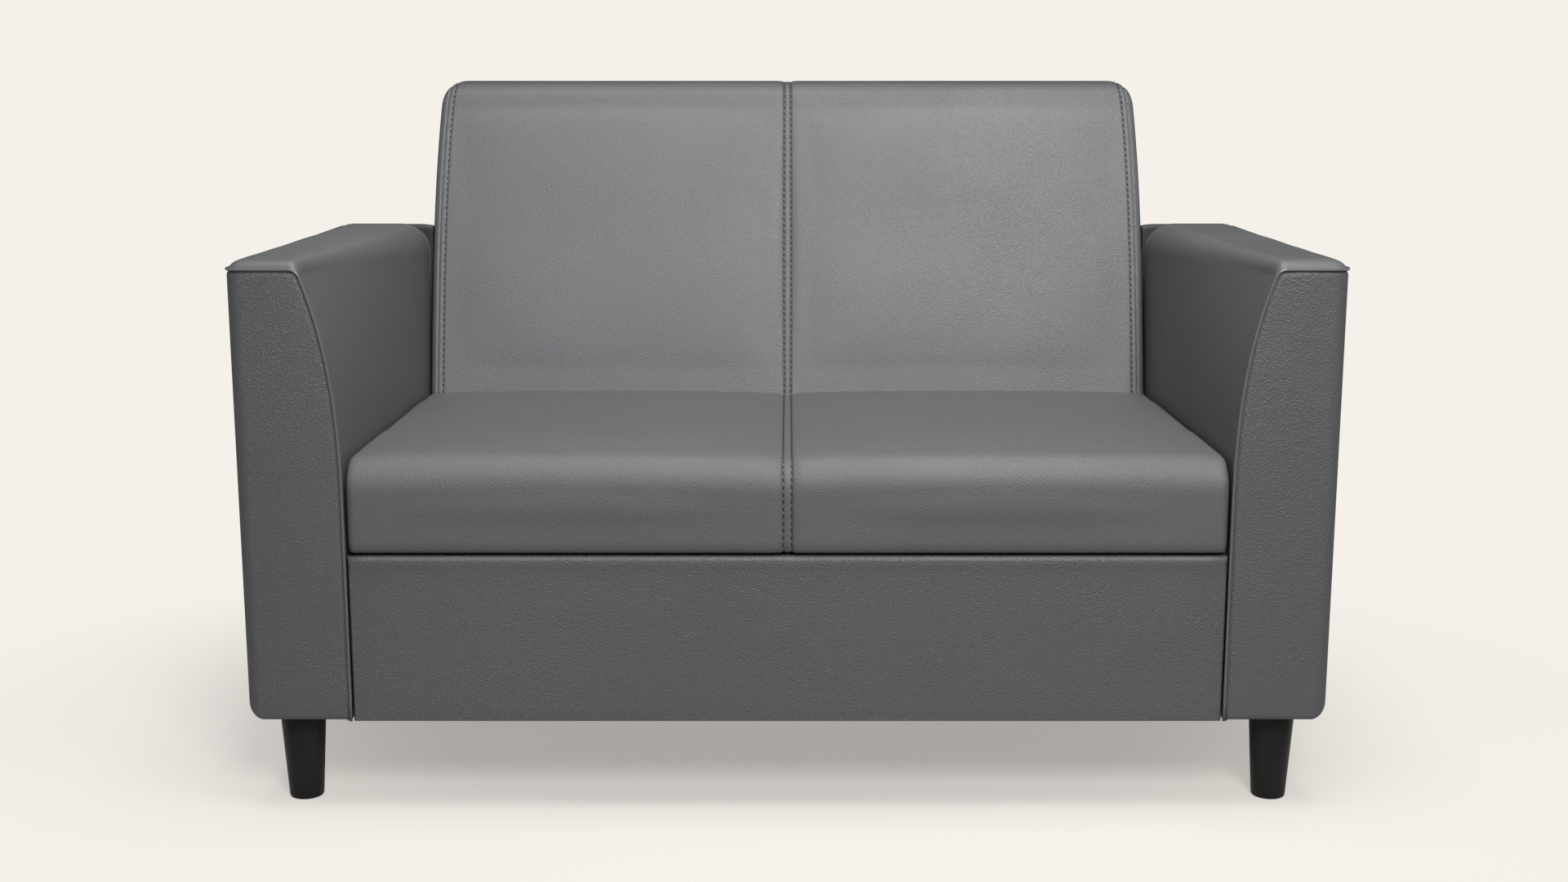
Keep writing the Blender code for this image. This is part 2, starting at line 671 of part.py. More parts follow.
def spring_line():
    """The route of one sinuous spring: straight bars joined by round bends, bowed up in its middle."""
    start = RAIL_BACK + GAP + SPRING_RAIL_WIDTH / 2
    end = REAR_RAIL_DEPTH + REAR_RAIL / 2
    bends = 2 * round((end - start) / SPRING_PITCH / 2)
    pitch = (end - start) / bends
    reach = SPRING_WAVE / 2 - pitch / 2
    places = []
    for bar in range(bends + 1):
        side = 1 if bar % 2 else -1
        depth = start + bar * pitch
        places += [(-side * reach, depth), (side * reach, depth)]
        if bar < bends:
            bend = arc((0.0, depth + pitch / 2), pitch / 2, -math.pi / 2, math.pi / 2, 3)[1:-1]
            places += [(side * (reach + x), y) for x, y in bend]
    points = []
    for x, depth in places:
        share = (depth - start) / (end - start)
        points.append(at(x, depth, SPRING_END_HEIGHT + SPRING_RISE * math.sin(math.pi * share)))
    return points, start, end


def springs():
    """The seat springs, each held by a clip on the rail at either end."""
    points, start, end = spring_line()
    wire = as_mesh(tube("spring_wire", points, SPRING_WIRE_RADIUS, STEEL, 0))
    for number, depth in enumerate((start, end)):
        floor = SPRING_END_HEIGHT - SPRING_WIRE_RADIUS - CLIP_PLATE
        roof = SPRING_END_HEIGHT + SPRING_WIRE_RADIUS + CLIP_PLATE
        low = at(-CLIP_WIDTH / 2, depth - CLIP_DEPTH / 2, floor)
        high = at(CLIP_WIDTH / 2, depth + CLIP_DEPTH / 2, roof)
        cut(wire, add_mesh(f"clip_{number}", block_mesh(low, high), STEEL), "UNION")
    bpy.context.view_layer.update()
    mesh = bpy.data.meshes.new_from_object(wire.evaluated_get(bpy.context.evaluated_depsgraph_get()))
    bpy.data.objects.remove(wire)
    spacing = 2 * SIDE_RAIL_INNER / SPRING_COUNT
    for number in range(SPRING_COUNT):
        spring = bpy.data.objects.new(f"seat_spring_{number + 1}", mesh)
        spring.location.x = (number - (SPRING_COUNT - 1) / 2) * spacing
        PARTS.objects.link(spring)


def deck():
    """The felt over the springs and the cloth under the base."""
    half = SIDE_RAIL_OUTER
    block("deck_pad", at(-half, RAIL_BACK + GAP, DECK_TOP - DECK_PAD),
          at(half, REAR_RAIL_DEPTH + REAR_RAIL, DECK_TOP), FELT)
    half = INNER - BASE_SIDE_GAP
    block("dust_cover", at(-half, APRON_FRONT + APRON_RETURN + GAP, BASE_FLOOR - GAP - DUST_COVER),
          at(half, ARM_DEPTH - PIPING_SEAT - GAP, BASE_FLOOR - GAP), DUST_CLOTH)


# Seat cushion

def front_depth(height):
    """Where the reclined front of the back lies at a height."""
    return BACK_FOOT_DEPTH + (height - BACK_FOOT_HEIGHT) * math.tan(BACK_LEAN)


def rear_depth(height):
    """Where the leaning rear of the back lies at a height."""
    return REAR_FOOT_DEPTH + (height - LEG_HEIGHT) * math.tan(REAR_LEAN)


def seat_profile(inset):
    """The seat cushion from the side: front foot, roll, sloping top, rear round and slanted rear."""
    low = (SEAT_FRONT + SEAT_BOTTOM_RADIUS, SEAT_BOTTOM + SEAT_BOTTOM_RADIUS)
    points = arc(low, SEAT_BOTTOM_RADIUS, -math.pi / 2, -math.pi, 2)
    roll = (SEAT_FRONT + SEAT_ROLL_RADIUS, SEAT_FRONT_HEIGHT - SEAT_ROLL_RADIUS)
    points += arc(roll, SEAT_ROLL_RADIUS, math.pi, math.pi / 2, 5)
    gap = SEAT_BACK_GAP / math.cos(BACK_LEAN)
    corner = front_depth(SEAT_REAR_HEIGHT - SEAT_REAR_RADIUS) - gap - SEAT_REAR_RADIUS / math.cos(BACK_LEAN)
    for share in SEAT_TOP_SHARES:
        points.append((mix(roll[0], corner, share), mix(SEAT_FRONT_HEIGHT, SEAT_REAR_HEIGHT, share)))
    centre = (corner, SEAT_REAR_HEIGHT - SEAT_REAR_RADIUS)
    points += arc(centre, SEAT_REAR_RADIUS, math.pi / 2, -BACK_LEAN, 3)
    points.append((front_depth(SEAT_BOTTOM) - gap, SEAT_BOTTOM))
    moved = inset_line(points, inset, cyclic=True)
    return [(depth, max(height, SEAT_BOTTOM)) for depth, height in moved]


def lobes(x, half):
    """The crown of a cushion with a seam in its middle: nothing at its ends and least at the seam."""
    share = min(abs(x) / half, 1.0)
    return math.sqrt(1.0 - (2.0 * share - 1.0) ** 2)


def seam(x, inset):
    """How deep the middle seam pulls a cushion in at a distance from it, a little deeper in the foam."""
    share = min(abs(x) / SEAM_HALF_WIDTH, 1.0)
    return (SEAM_DIP + inset / 3) * (1.0 - share) ** SEAM_POWER


def stations(half, radius):
    """Places across a cushion, closest at its rounded ends and its middle seam, each with its end inset."""
    places = []
    for step in range(END_STEPS + 1):
        angle = math.pi / 2 * step / END_STEPS
        places.append((half - radius * (1.0 - math.cos(angle)), radius * (1.0 - math.sin(angle))))
    places += [(half * share, 0.0) for share in reversed(HALF_WIDTH_SHARES)]
    places += [(SEAM_HALF_WIDTH, 0.0), (SEAM_HALF_WIDTH * SEAM_SIDE_SHARE, 0.0)]
    left = [(-x, inset) for x, inset in places]
    return left + [(0.0, 0.0)] + places[::-1]


def seat_mesh(inset):
    profile = seat_profile(inset)
    half, radius = INNER - SEAT_SIDE_GAP - inset, SEAT_END_RADIUS - inset
    depths = [depth for depth, height in profile]
    middle, reach = (max(depths) + min(depths)) / 2, (max(depths) - min(depths)) / 2
    tall = SEAT_FRONT_HEIGHT - SEAT_BOTTOM
    rings = []
    for x, end_inset in stations(half, radius):
        drop = end_inset + seam(x, inset)
        squeeze = 1.0 - drop / reach
        grow = 1.0 + (SEAT_CROWN * lobes(x, half) - drop) / tall
        rings.append([at(x, middle + (depth - middle) * squeeze, SEAT_BOTTOM + (height - SEAT_BOTTOM) * grow)
                      for depth, height in profile])
    return loft(rings, closed=True, capped=True)


def seat():
    """The cushion's foam, and its cover, which is open below where it is pulled down to the frame."""
    add_mesh("seat_foam", seat_mesh(PAD_INSET), FOAM)
    bm = seat_mesh(0.0)
    floor = [face for face in bm.faces if all(abs(vert.co.z - SEAT_BOTTOM) < GAP / 3 for vert in face.verts)]
    bmesh.ops.delete(bm, geom=floor, context="FACES")
    middle = at(0.0, BACK_FOOT_DEPTH / 2, mix(SEAT_BOTTOM, SEAT_REAR_HEIGHT, 0.5))
    shell("seat_cover", bm, COVER, middle, LEATHER)


# Back

def back_half(height):
    """Half the width of the back, which narrows a little towards its top."""
    share = max(height - BACK_FOOT_HEIGHT, 0.0) / (HEIGHT - BACK_FOOT_HEIGHT)
    return INNER - BACK_SIDE_GAP - BACK_TAPER * share ** BACK_TAPER_POWER


def post_rear(height):
    return rear_depth(height) - COVER - GAP


def post_front(height):
    share = (height - BASE_FLOOR) / (POST_TOP - BASE_FLOOR)
    return post_rear(height) - mix(POST_FOOT, POST_HEAD, share)


def back_profile(inset, front_steps=5):
    """The back from the side: front, rounded top and rear, as depths and heights. It starts at the foot."""
    crest = arc((CREST_FRONT, CREST_LEVEL), BACK_TOP_RADIUS, math.pi - BACK_LEAN, math.pi / 2)
    crest += arc((CREST_REAR, CREST_LEVEL), BACK_TOP_RADIUS, math.pi / 2, -REAR_LEAN)
    foot = (front_depth(BACK_BOTTOM), BACK_BOTTOM)
    heel = (rear_depth(BACK_BOTTOM), BACK_BOTTOM)
    shares = [step / front_steps for step in range(front_steps)]
    rise = [(mix(foot[0], crest[0][0], share), mix(foot[1], crest[0][1], share)) for share in shares]
    fall = [(mix(heel[0], crest[-1][0], share), mix(heel[1], crest[-1][1], share)) for share in shares]
    line = inset_line([*rise, *crest, *reversed(fall)], inset)
    heel = line[-1]
    slope = math.tan(REAR_LEAN)
    line[0] = (line[0][0] + (BACK_BOTTOM - line[0][1]) * math.tan(BACK_LEAN), BACK_BOTTOM)
    line[-1] = (heel[0] + (BACK_BOTTOM - heel[1]) * slope, BACK_BOTTOM)
    return line


def corner_drop(x, half, radius):
    """How far the top of the back has dropped at a place across it, round its upper corners."""
    into = radius - (half - abs(x))
    if into <= 0.0:
        return 0.0
    return radius - math.sqrt(max(radius ** 2 - into ** 2, 0.0))


def back_stations(half, inset):
    """Places across the back, with more of them round its upper corners."""
    places = stations(half, BACK_EDGE_RADIUS - inset)
    corner = [half - BACK_CORNER_RADIUS * share for share in CORNER_SHARES]
    places += [(side * x, 0.0) for x in corner for side in (-1, 1)]
    return sorted(places)


def back_ring(profile, x, end_inset, inset):
    """One cross-section of the back, narrowed at its ends, dropped at its corners and crowned in front."""
    half = back_half(BACK_FOOT_HEIGHT) - inset
    drop = corner_drop(x, half, BACK_CORNER_RADIUS + inset) + end_inset / 2 + seam(x, inset) / 2
    ring = []
    for depth, height in profile:
        share = (depth - front_depth(height)) / (rear_depth(height) - front_depth(height))
        low = height - drop * max(height - CREST_FOOT, 0.0) / (HEIGHT - CREST_FOOT)
        thick = rear_depth(low) - front_depth(low)
        narrowed = 0.5 + (share - 0.5) * (1.0 - 2.0 * end_inset / thick)
        along = max(low - BACK_FOOT_HEIGHT, 0.0) / (HEIGHT - BACK_FOOT_HEIGHT)
        swell = BACK_CROWN * lobes(x, half) - seam(x, inset)
        ahead = swell * math.sin(math.pi * along) * max(1.0 - 2.0 * share, 0.0)
        spread = (back_half(low) - inset) / half
        ring.append(at(x * spread, front_depth(low) + thick * narrowed - ahead, low))
    return ring


def back_rings(profile, inset):
    half = back_half(BACK_FOOT_HEIGHT) - inset
    return [back_ring(profile, x, end_inset, inset) for x, end_inset in back_stations(half, inset)]


def panel_half(height):
    """Half the width of the opening at the rear of the back's cover."""
    return back_half(height) - BACK_EDGE_RADIUS


def back_cover():
    """The leather over the front, top and sides, turned round the rear edges. Its rear and foot are open."""
    profile = back_profile(0.0)
    bm = cushion_loft(back_rings(profile, 0.0))
    gone = []
    for face in bm.faces:
        centre = face.calc_center_median()
        behind = face.normal.y > REAR_FACING and abs(centre.x) < panel_half(centre.z)
        if face.normal.z < -FLOOR_FACING or behind and centre.z < CREST_LEVEL:
            gone.append(face)
    bmesh.ops.delete(bm, geom=gone, context="FACES")
    middle = at(0.0, front_depth(BACK_FOOT_HEIGHT) + BACK_TOP_RADIUS, mix(BACK_BOTTOM, HEIGHT, 0.5))
    shell("back_cover", bm, COVER, middle, LEATHER)


def back_foam():
    """The foam in front of the posts and over the top rail."""
    inset = PAD_INSET
    outside = back_profile(inset)
    notch = POST_TOP + GAP
    slot = WEB_THICKNESS + 2 * GAP
    profile = outside[:len(outside) // 2 + ARC_STEPS + 1]
    profile.append((rear_depth(notch) - inset, notch))
    lower = len(outside) - len(profile) - 1
    for step in range(lower, -1, -1):
        height = mix(BACK_BOTTOM, notch, step / lower)
        profile.append((post_front(height) - slot, height))
    add_mesh("back_foam", cushion_loft(back_rings(profile, inset)), FOAM)


def back_rear_panel():
    """The outside back: a flat panel inside the cover's rear opening, from its foot to its crest."""
    top = CREST_LEVEL - BACK_TOP_RADIUS * math.sin(REAR_LEAN)
    half = back_half(BACK_FOOT_HEIGHT)
    rings = []
    for share in PANEL_SHARES:
        column = []
        for rise in ARM_RUN_SHARES:
            edge = panel_half(mix(BACK_BOTTOM, top, rise)) - PANEL_GAP
            drop = corner_drop(share * (half - BACK_EDGE_RADIUS), half, BACK_CORNER_RADIUS) + PANEL_GAP
            height = mix(BACK_BOTTOM, top - drop, rise)
            column.append(at(share * edge, rear_depth(height), height))
        rings.append(column)
    inside = at(0.0, front_depth(BACK_FOOT_HEIGHT), mix(BACK_BOTTOM, HEIGHT, 0.5))
    shell("back_rear_panel", loft(rings), COVER, inside, LEATHER)


def base_rear_cover():
    """The leather over the rear of the base, below the back's cover, turned forward at its ends."""
    half = INNER - BASE_SIDE_GAP
    levels = (LEG_HEIGHT, BACK_BOTTOM - PANEL_GAP)
    turned = ARM_DEPTH - PIPING_SEAT
    rings = []
    for height in levels:
        reach = rear_depth(height)
        rings.append([at(-half, turned, height), at(-half, reach, height),
                      at(half, reach, height), at(half, turned, height)])
    shell("base_rear_cover", loft(rings), COVER, at(0.0, 0.0, mix(*levels, 0.5)), LEATHER)


def back_frame():
    """Two tapered posts, the rails between them and the elastic webs across their front."""
    outline = [(FRONT + post_front(BASE_FLOOR), BASE_FLOOR), (FRONT + post_rear(BASE_FLOOR), BASE_FLOOR),
               (FRONT + post_rear(POST_TOP), POST_TOP), (FRONT + post_front(POST_TOP), POST_TOP)]
    place = Vector((POST_OUTER - POST_WIDTH / 2, 0.0, 0.0))
    post = plate("back_post_right", outline, POST_WIDTH, place, FACING_SIDE, TIMBER)
    mirrored(post, "back_post_left")
    lower = (LOWER_RAIL_BOTTOM, LOWER_RAIL_BOTTOM + BACK_RAIL_HEIGHT)
    upper = (POST_TOP - BACK_RAIL_HEIGHT, POST_TOP)
    for name, (low, high) in (("back_lower_rail", lower), ("back_top_rail", upper)):
        outline = [(FRONT + post_front(low), low), (FRONT + post_rear(low), low),
                   (FRONT + post_rear(high), high), (FRONT + post_front(high), high)]
        plate(name, outline, 2 * (POST_INNER - GAP), Vector(), FACING_SIDE, TIMBER)
    between = (upper[0] - lower[1] - WEB_COUNT * WEB_HEIGHT) / (WEB_COUNT + 1)
    for number in range(WEB_COUNT):
        low = lower[1] + between + number * (WEB_HEIGHT + between)
        high = low + WEB_HEIGHT
        near, far = GAP + WEB_THICKNESS, GAP
        outline = [(FRONT + post_front(low) - near, low), (FRONT + post_front(low) - far, low),
                   (FRONT + post_front(high) - far, high), (FRONT + post_front(high) - near, high)]
        plate(f"back_web_{number + 1}", outline, 2 * POST_OUTER, Vector(), FACING_SIDE, WEBBING)


def back():
    back_frame()
    back_foam()
    back_cover()
    back_rear_panel()
    base_rear_cover()


# Legs

def leg_mesh():
    """A turned, tapered leg with its threaded stud."""
    top = LEG_HEIGHT - GAP
    foot = arc((LEG_BOTTOM_RADIUS - LEG_ROUND, LEG_ROUND), LEG_ROUND, 0.0, -math.pi / 2, 2)
    tip = LEG_HEIGHT + STUD_LENGTH
    outline = [(0.0, tip), (STUD_RADIUS, tip), (STUD_RADIUS, top), (LEG_TOP_RADIUS - LEG_ROUND / 2, top),
               (LEG_TOP_RADIUS, top - LEG_ROUND / 2), *foot, (0.0, 0.0)]
    mesh = bpy.data.meshes.new("leg")
    edges = [(index, index + 1) for index in range(len(outline) - 1)]
    mesh.from_pydata([(x, 0.0, z) for x, z in outline], edges, [])
    mesh.materials.append(LEG_BLACK)
    return mesh


def legs():
    """Four legs, each under a steel plate on the rail of its arm."""
    mesh = leg_mesh()
    corners = [(side, row, sign, depth) for row, depth in (("front", LEG_END_INSET), ("rear", REAR_LEG_DEPTH))
               for side, sign in (("left", -1), ("right", 1))]
    half = LEG_PLATE_SIZE / 2
    for side, row, sign, depth in corners:
        place = at(sign * (HALF - LEG_INSET), depth, 0.0)
        leg = bpy.data.objects.new(f"leg_{row}_{side}", mesh)
        leg.location = place
        PARTS.objects.link(leg)
        screw = leg.modifiers.new("turned", "SCREW")
        screw.steps = SIDES
        screw.render_steps = SIDES
        screw.use_merge_vertices = True
        screw.merge_threshold = GAP / 10
        low = place + Vector((-half, -half, LEG_HEIGHT))
        high = place + Vector((half, half, LEG_HEIGHT + LEG_PLATE))
        sheet = block(f"leg_plate_{row}_{side}", low, high, STEEL)
        bore = cylinder_tool(f"plate_bore_{row}_{side}", STUD_RADIUS + STUD_CLEARANCE,
                             place + Vector((0.0, 0.0, LEG_HEIGHT - LEG_PLATE)),
                             place + Vector((0.0, 0.0, LEG_HEIGHT + 2 * LEG_PLATE)))
        cut(sheet, bore)


arms()
base_frame()
apron()
springs()
deck()
seat()
back()
legs()
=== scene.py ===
"""Looks of a two-seater sofa in grey pebbled leather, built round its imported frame.

Units are metres, +Z is up and the sofa faces -Y. Left and right are as seen by someone who faces it.
Each piece lies in place in its own mesh, so every object stays at the origin.
"""

import math

import bmesh
import bpy
from mathutils import Matrix, Vector, noise


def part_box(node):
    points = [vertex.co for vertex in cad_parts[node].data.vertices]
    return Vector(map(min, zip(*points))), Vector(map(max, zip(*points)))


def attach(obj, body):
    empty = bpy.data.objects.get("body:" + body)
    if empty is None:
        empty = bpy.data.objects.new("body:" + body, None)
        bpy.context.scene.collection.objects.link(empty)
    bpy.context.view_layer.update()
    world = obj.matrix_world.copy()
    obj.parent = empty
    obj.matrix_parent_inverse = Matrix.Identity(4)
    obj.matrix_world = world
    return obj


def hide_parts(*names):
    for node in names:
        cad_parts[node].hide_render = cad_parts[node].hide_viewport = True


bl_info = {
    "name": "Two-seater sofa",
    "version": (1, 0, 0),
    "blender": (4, 5, 0),
    "location": "3D View > Sidebar > Sofa",
    "description": "Builds the leather, seams, legs and studio of a two-seater sofa on its frame",
    "category": "Object",
}

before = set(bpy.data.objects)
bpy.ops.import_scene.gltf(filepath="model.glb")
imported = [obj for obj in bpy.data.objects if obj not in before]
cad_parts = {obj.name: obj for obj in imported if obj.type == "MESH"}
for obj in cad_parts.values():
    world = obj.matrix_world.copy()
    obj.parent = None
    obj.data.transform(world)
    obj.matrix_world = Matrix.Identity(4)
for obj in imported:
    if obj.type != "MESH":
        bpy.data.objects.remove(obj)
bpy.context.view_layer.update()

# Places read from the frame
ARM_LOW, ARM_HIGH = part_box("arm_outer_cover_right")
SEAT_LOW, SEAT_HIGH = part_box("seat_cover")
BACK_LOW, BACK_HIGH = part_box("back_cover")
PANEL_LOW, PANEL_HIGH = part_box("back_rear_panel")
APRON_LOW, APRON_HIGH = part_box("apron_cover")
BASE_LOW, BASE_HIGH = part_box("base_rear_cover")

FRONT = ARM_LOW.y
ARM_DEPTH = ARM_HIGH.y - ARM_LOW.y
ARM_OUTER = ARM_HIGH.x
ARM_FOOT = ARM_LOW.z

# The arm's form, as it is under its cover
CORD_SINK = 0.0002
CORD_RADIUS = 0.0019
CORD_SEAT = 0.0037
ARM_INNER = ARM_LOW.x - CORD_SEAT
ARM_EDGE = ARM_HIGH.z + CORD_SEAT
ARM_FLARE = 0.042
FLARE_START = 0.360
FLARE_POWER = 2.8
FRONT_ROUND = 0.014
REAR_ROUND = 0.037
PANEL_ROUND = 0.019
FOOT_ROUND = 0.007
SIDE_FOOT_ROUND = 0.021
FOOT_LIP = 0.026
FRONT_CROWN = 0.0112
REAR_CROWN = 0.0050
CROWN_REACH = 0.020
ARM_SWELL = 0.0012
INNER_TUCK = 0.0028
OUTER_TUCK = 0.0030
TUCK_REACH = 0.0072
TUCK_FLOOR = 0.0020
EDGE_START = 0.0012
GAP_FILL = 0.014

# How an arm's leather swells and ripples
FLANK_SWELL_RISE = 0.12
FRONT_SWELL = 0.0010
FRONT_SWELL_RISE = 0.08
SIDE_SWELL = 0.0016
RIPPLE = 0.0005
RIPPLE_SCALE = 14.0
RIPPLE_REACH = 0.03
PROBE = 0.001

# The apron's form: its round, its swell, the bead along its top and its ripples
APRON_REACH = 0.0018
APRON_ROUND = 0.0045
APRON_SINK = 0.0006
APRON_SWELL = 0.0011
APRON_BEAD = 0.0014
APRON_BEAD_HEIGHT = 0.97
APRON_BEAD_WIDTH = 0.05
APRON_RIPPLE = 0.0004
APRON_RIPPLE_SCALE = 7.0

# The back's and the seat's form
BACK_LEAN = math.radians(14.0)
REAR_LEAN = math.radians(10.6)
BACK_FOOT = Vector((FRONT + 0.575, 0.428))
REAR_FOOT = Vector((FRONT + ARM_DEPTH - 0.0004, ARM_FOOT))
BACK_WIDE = 0.5276
BACK_TAPER = 0.0150
BACK_TAPER_POWER = 3.2
CREST_ROUND = 0.040
CORNER_ROUND = 0.031
SIDE_ROUND = 0.014
SEAT_TOP_FRONT = 0.437
SEAT_TOP_REAR = 0.424
SEAT_ROLL = 0.040
SEAT_FOOT_ROUND = 0.008
SEAT_REAR_ROUND = 0.012
SEAT_END_ROUND = 0.015
SEAT_BACK_GAP = 0.0012
SEAT_CROWN = 0.006
BACK_CROWN = 0.005
CREST_FOOT = 0.795
SEAM_DIP = 0.0045
SEAM_HALF_WIDTH = 0.014
SEAM_POWER = 1.5
PANEL_PROUD = 0.0012
PANEL_SUNK = 0.0022
PANEL_EDGE_ROUND = 0.0014
BASE_ROUND = 0.005

# How deep each kind of sewn line is pressed in, and half its width
TOPSTITCH = (0.0016, 0.0026)
EDGE_STITCH = (0.0013, 0.0024)
SIDE_SEAM = (0.0018, 0.0020)
GROOVE_SHARES = (-1.0, -0.6, -0.3, 0.0, 0.3, 0.6, 1.0)
# How far a stitch turns from its line, and how it stands out and is flattened as shares of its thread
STITCH_LEAN = 0.18
STITCH_PROUD = 0.18
STITCH_FLATNESS = 2.4

# The cushions' simulation: its frames, its pressure and the passes that smooth what it gives
SIMULATED_FRAMES = 20
PRESSURE = 4.0
STIFFNESS = 25.0
BENDING = 4.0
SMOOTH_PASSES = 3

# The legs: their foot's width as a share of their top's, and the radius of their bolt
LEG_TAPER = 0.75
BOLT = 0.0040

# The light and the dark tone of each timber, and how rough the cloths are
PINE = ((0.60, 0.43, 0.25), (0.44, 0.28, 0.14))
HARDBOARD = ((0.30, 0.19, 0.10), (0.24, 0.14, 0.07))
CLOTH_ROUGH = 0.95

X_AXIS = Vector((1.0, 0.0, 0.0))
Z_AXIS = Vector((0.0, 0.0, 1.0))
# Two points this near are at one place
SAME = 0.0001

# The camera, and each lamp's place, target, size and power
CAMERA_PLACE = (0.0, -2.6536, 0.896)
CAMERA_TILT = math.radians(79.16)
CAMERA_LENS = 44.90
CAMERA_SHIFT = -0.0022
LAMPS = {"overhead": ((0.0, -0.6, 5.5), (0.0, 0.0, 0.4), 2.6, 180.0),
         "front": ((0.60, -3.0, 2.4), (0.0, 0.0, 0.4), 1.0, 92.0),
         "inner": ((0.45, -0.9, 2.3), (0.0, 0.0, 0.4), 0.9, 12.0),
         "rear": ((-0.3, 3.2, 2.4), (0.0, 0.2, 0.4), 1.8, 16.0)}
AMBIENT = 0.24
MIRRORED_BACKDROP = 0.12
# How far from the sofa the floor turns into the backdrop, how much of it is backdrop near the sofa, and
# how much of that glow the sofa gets
FLOOR_FADE = (0.30, 0.95)
FLOOR_SQUASH = (0.62, 1.0, 1.0)
FLOOR_GLOW = 0.43
GLOW_ON_SOFA = 0.35


def mix(start, end, share):
    return start + (end - start) * share


def clamp(value):
    return min(max(value, 0.0), 1.0)


def ease(value):
    """A smooth step from nothing to one."""
    share = clamp(value)
    return share * share * (3.0 - 2.0 * share)


def spread(count):
    """Even shares from nothing to one."""
    return [step / count for step in range(count + 1)]


# Meshes and pieces

def new_object(name, bm):
    """An object in the scene with a mesh of its own."""
    mesh = bpy.data.meshes.new(name)
    bm.to_mesh(mesh)
    bm.free()
    made = bpy.data.objects.new(name, mesh)
    bpy.context.scene.collection.objects.link(made)
    return made


def keep_piece(name, bm, material, replaced=()):
    """Makes a mesh a piece of the sofa that rides on the frame."""
    piece = new_object(name, bm)
    piece.data.materials.append(material)
    piece.data.shade_smooth()
    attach(piece, "root")
    if replaced:
        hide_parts(*replaced)
    return piece


def applied(piece):
    """Replaces a piece's mesh with what its modifiers make of it."""
    bpy.context.view_layer.update()
    mesh = bpy.data.meshes.new_from_object(piece.evaluated_get(bpy.context.evaluated_depsgraph_get()))
    piece.modifiers.clear()
    piece.data = mesh
    mesh.shade_smooth()
    return piece


def taken_back(holder):
    """The mesh of a helper object once its modifiers are applied. The object is removed."""
    applied(holder)
    bm = bmesh.new()
    bm.from_mesh(holder.data)
    bpy.data.objects.remove(holder)
    return bm


def thicken(piece, thickness):
    """Gives a sheet of leather its thickness on its inner side."""
    solidify = piece.modifiers.new("thickness", "SOLIDIFY")
    solidify.thickness = thickness
    solidify.offset = -1.0
    solidify.use_even_offset = True


def soften(piece, levels):
    """Rounds a piece off by subdivision."""
    subdivision = piece.modifiers.new("subdivision", "SUBSURF")
    subdivision.levels = levels
    subdivision.render_levels = levels


def grid_sheet(columns, rows, place):
    """A sheet whose lines of points are put where a rule says."""
    bm = bmesh.new()
    across, along = len(columns) - 1, len(rows) - 1
    bmesh.ops.create_grid(bm, x_segments=across, y_segments=along, size=1.0)
    for vert in bm.verts:
        column = round((vert.co.x + 1.0) / 2.0 * across)
        row = round((vert.co.y + 1.0) / 2.0 * along)
        vert.co = place(columns[column], rows[row])
    bm.normal_update()
    return bm


def face_away(bm, inside):
    """Turns a sheet so that it faces away from a place."""
    bm.normal_update()
    outward = sum(face.normal.dot(face.calc_center_median() - inside) * face.calc_area() for face in bm.faces)
    if outward < 0.0:
        bmesh.ops.reverse_faces(bm, faces=bm.faces)


def mirrored(bm):
    """The same mesh on the other side of the sofa."""
    twin = bm.copy()
    bmesh.ops.scale(twin, vec=(-1.0, 1.0, 1.0), verts=twin.verts)
    bmesh.ops.reverse_faces(twin, faces=twin.faces)
    return twin


def both_sides(stem, bm, material, node=None):
    """A piece on the right and its twin on the left, each in place of its CAD node."""
    twin = mirrored(bm)
    made = []
    for side, mesh in (("right", bm), ("left", twin)):
        replaced = (f"{node}_{side}",) if node else ()
        made.append(keep_piece(f"{stem}_{side}", mesh, material, replaced))
    return made


def box_mesh(corners):
    """A closed box from a cube whose corners are put where a rule says, by their signs."""
    bm = bmesh.new()
    bmesh.ops.create_cube(bm, size=2.0)
    for vert in bm.verts:
        vert.co = corners(*(1 if share > 0.0 else -1 for share in vert.co))
    bmesh.ops.recalc_face_normals(bm, faces=bm.faces)
    return bm


def edges_where(bm, test):
    return [edge for edge in bm.edges if all(test(vert.co) for vert in edge.verts)]


def round_edges(bm, edges, radius, segments):
    bmesh.ops.bevel(bm, geom=edges, offset=radius, segments=segments, profile=0.5, affect="EDGES",
                    material=-1, clamp_overlap=True)


def slice_at(bm, axis, distance):
    """Adds a line of edges where a plane across an axis meets a mesh."""
    bmesh.ops.bisect_plane(bm, geom=[*bm.verts, *bm.edges, *bm.faces], dist=2.0 * SAME,
                           plane_co=axis * distance, plane_no=axis)


def cord_mesh(points, radius, sides):
    """A round cord along a line of places, with closed ends."""
    curve = bpy.data.curves.new("cord", "CURVE")
    curve.dimensions = "3D"
    curve.bevel_depth = radius
    curve.bevel_resolution = sides
    curve.use_fill_caps = True
    spline = curve.splines.new("POLY")
    spline.points.add(len(points) - 1)
    for spot, point in zip(spline.points, points):
        spot.co = (*point, 1.0)
    holder = bpy.data.objects.new("cord", curve)
    bpy.context.scene.collection.objects.link(holder)
    bpy.context.view_layer.update()
    mesh = bpy.data.meshes.new_from_object(holder.evaluated_get(bpy.context.evaluated_depsgraph_get()))
    bpy.data.objects.remove(holder)
    bm = bmesh.new()
    bm.from_mesh(mesh)
    bpy.data.meshes.remove(mesh)
    bmesh.ops.remove_doubles(bm, verts=bm.verts, dist=radius / 50.0)
    bmesh.ops.recalc_face_normals(bm, faces=bm.faces)
    return bm


# Shader node groups

GRAIN_WARP = 0.0013
GRAIN_DOME = 0.35
GRAIN_RIPPLE = 1.1
# How much painted shade darkens the leather's colour in the grain's creases
CREASE_PAINTED_SHADE = 0.10


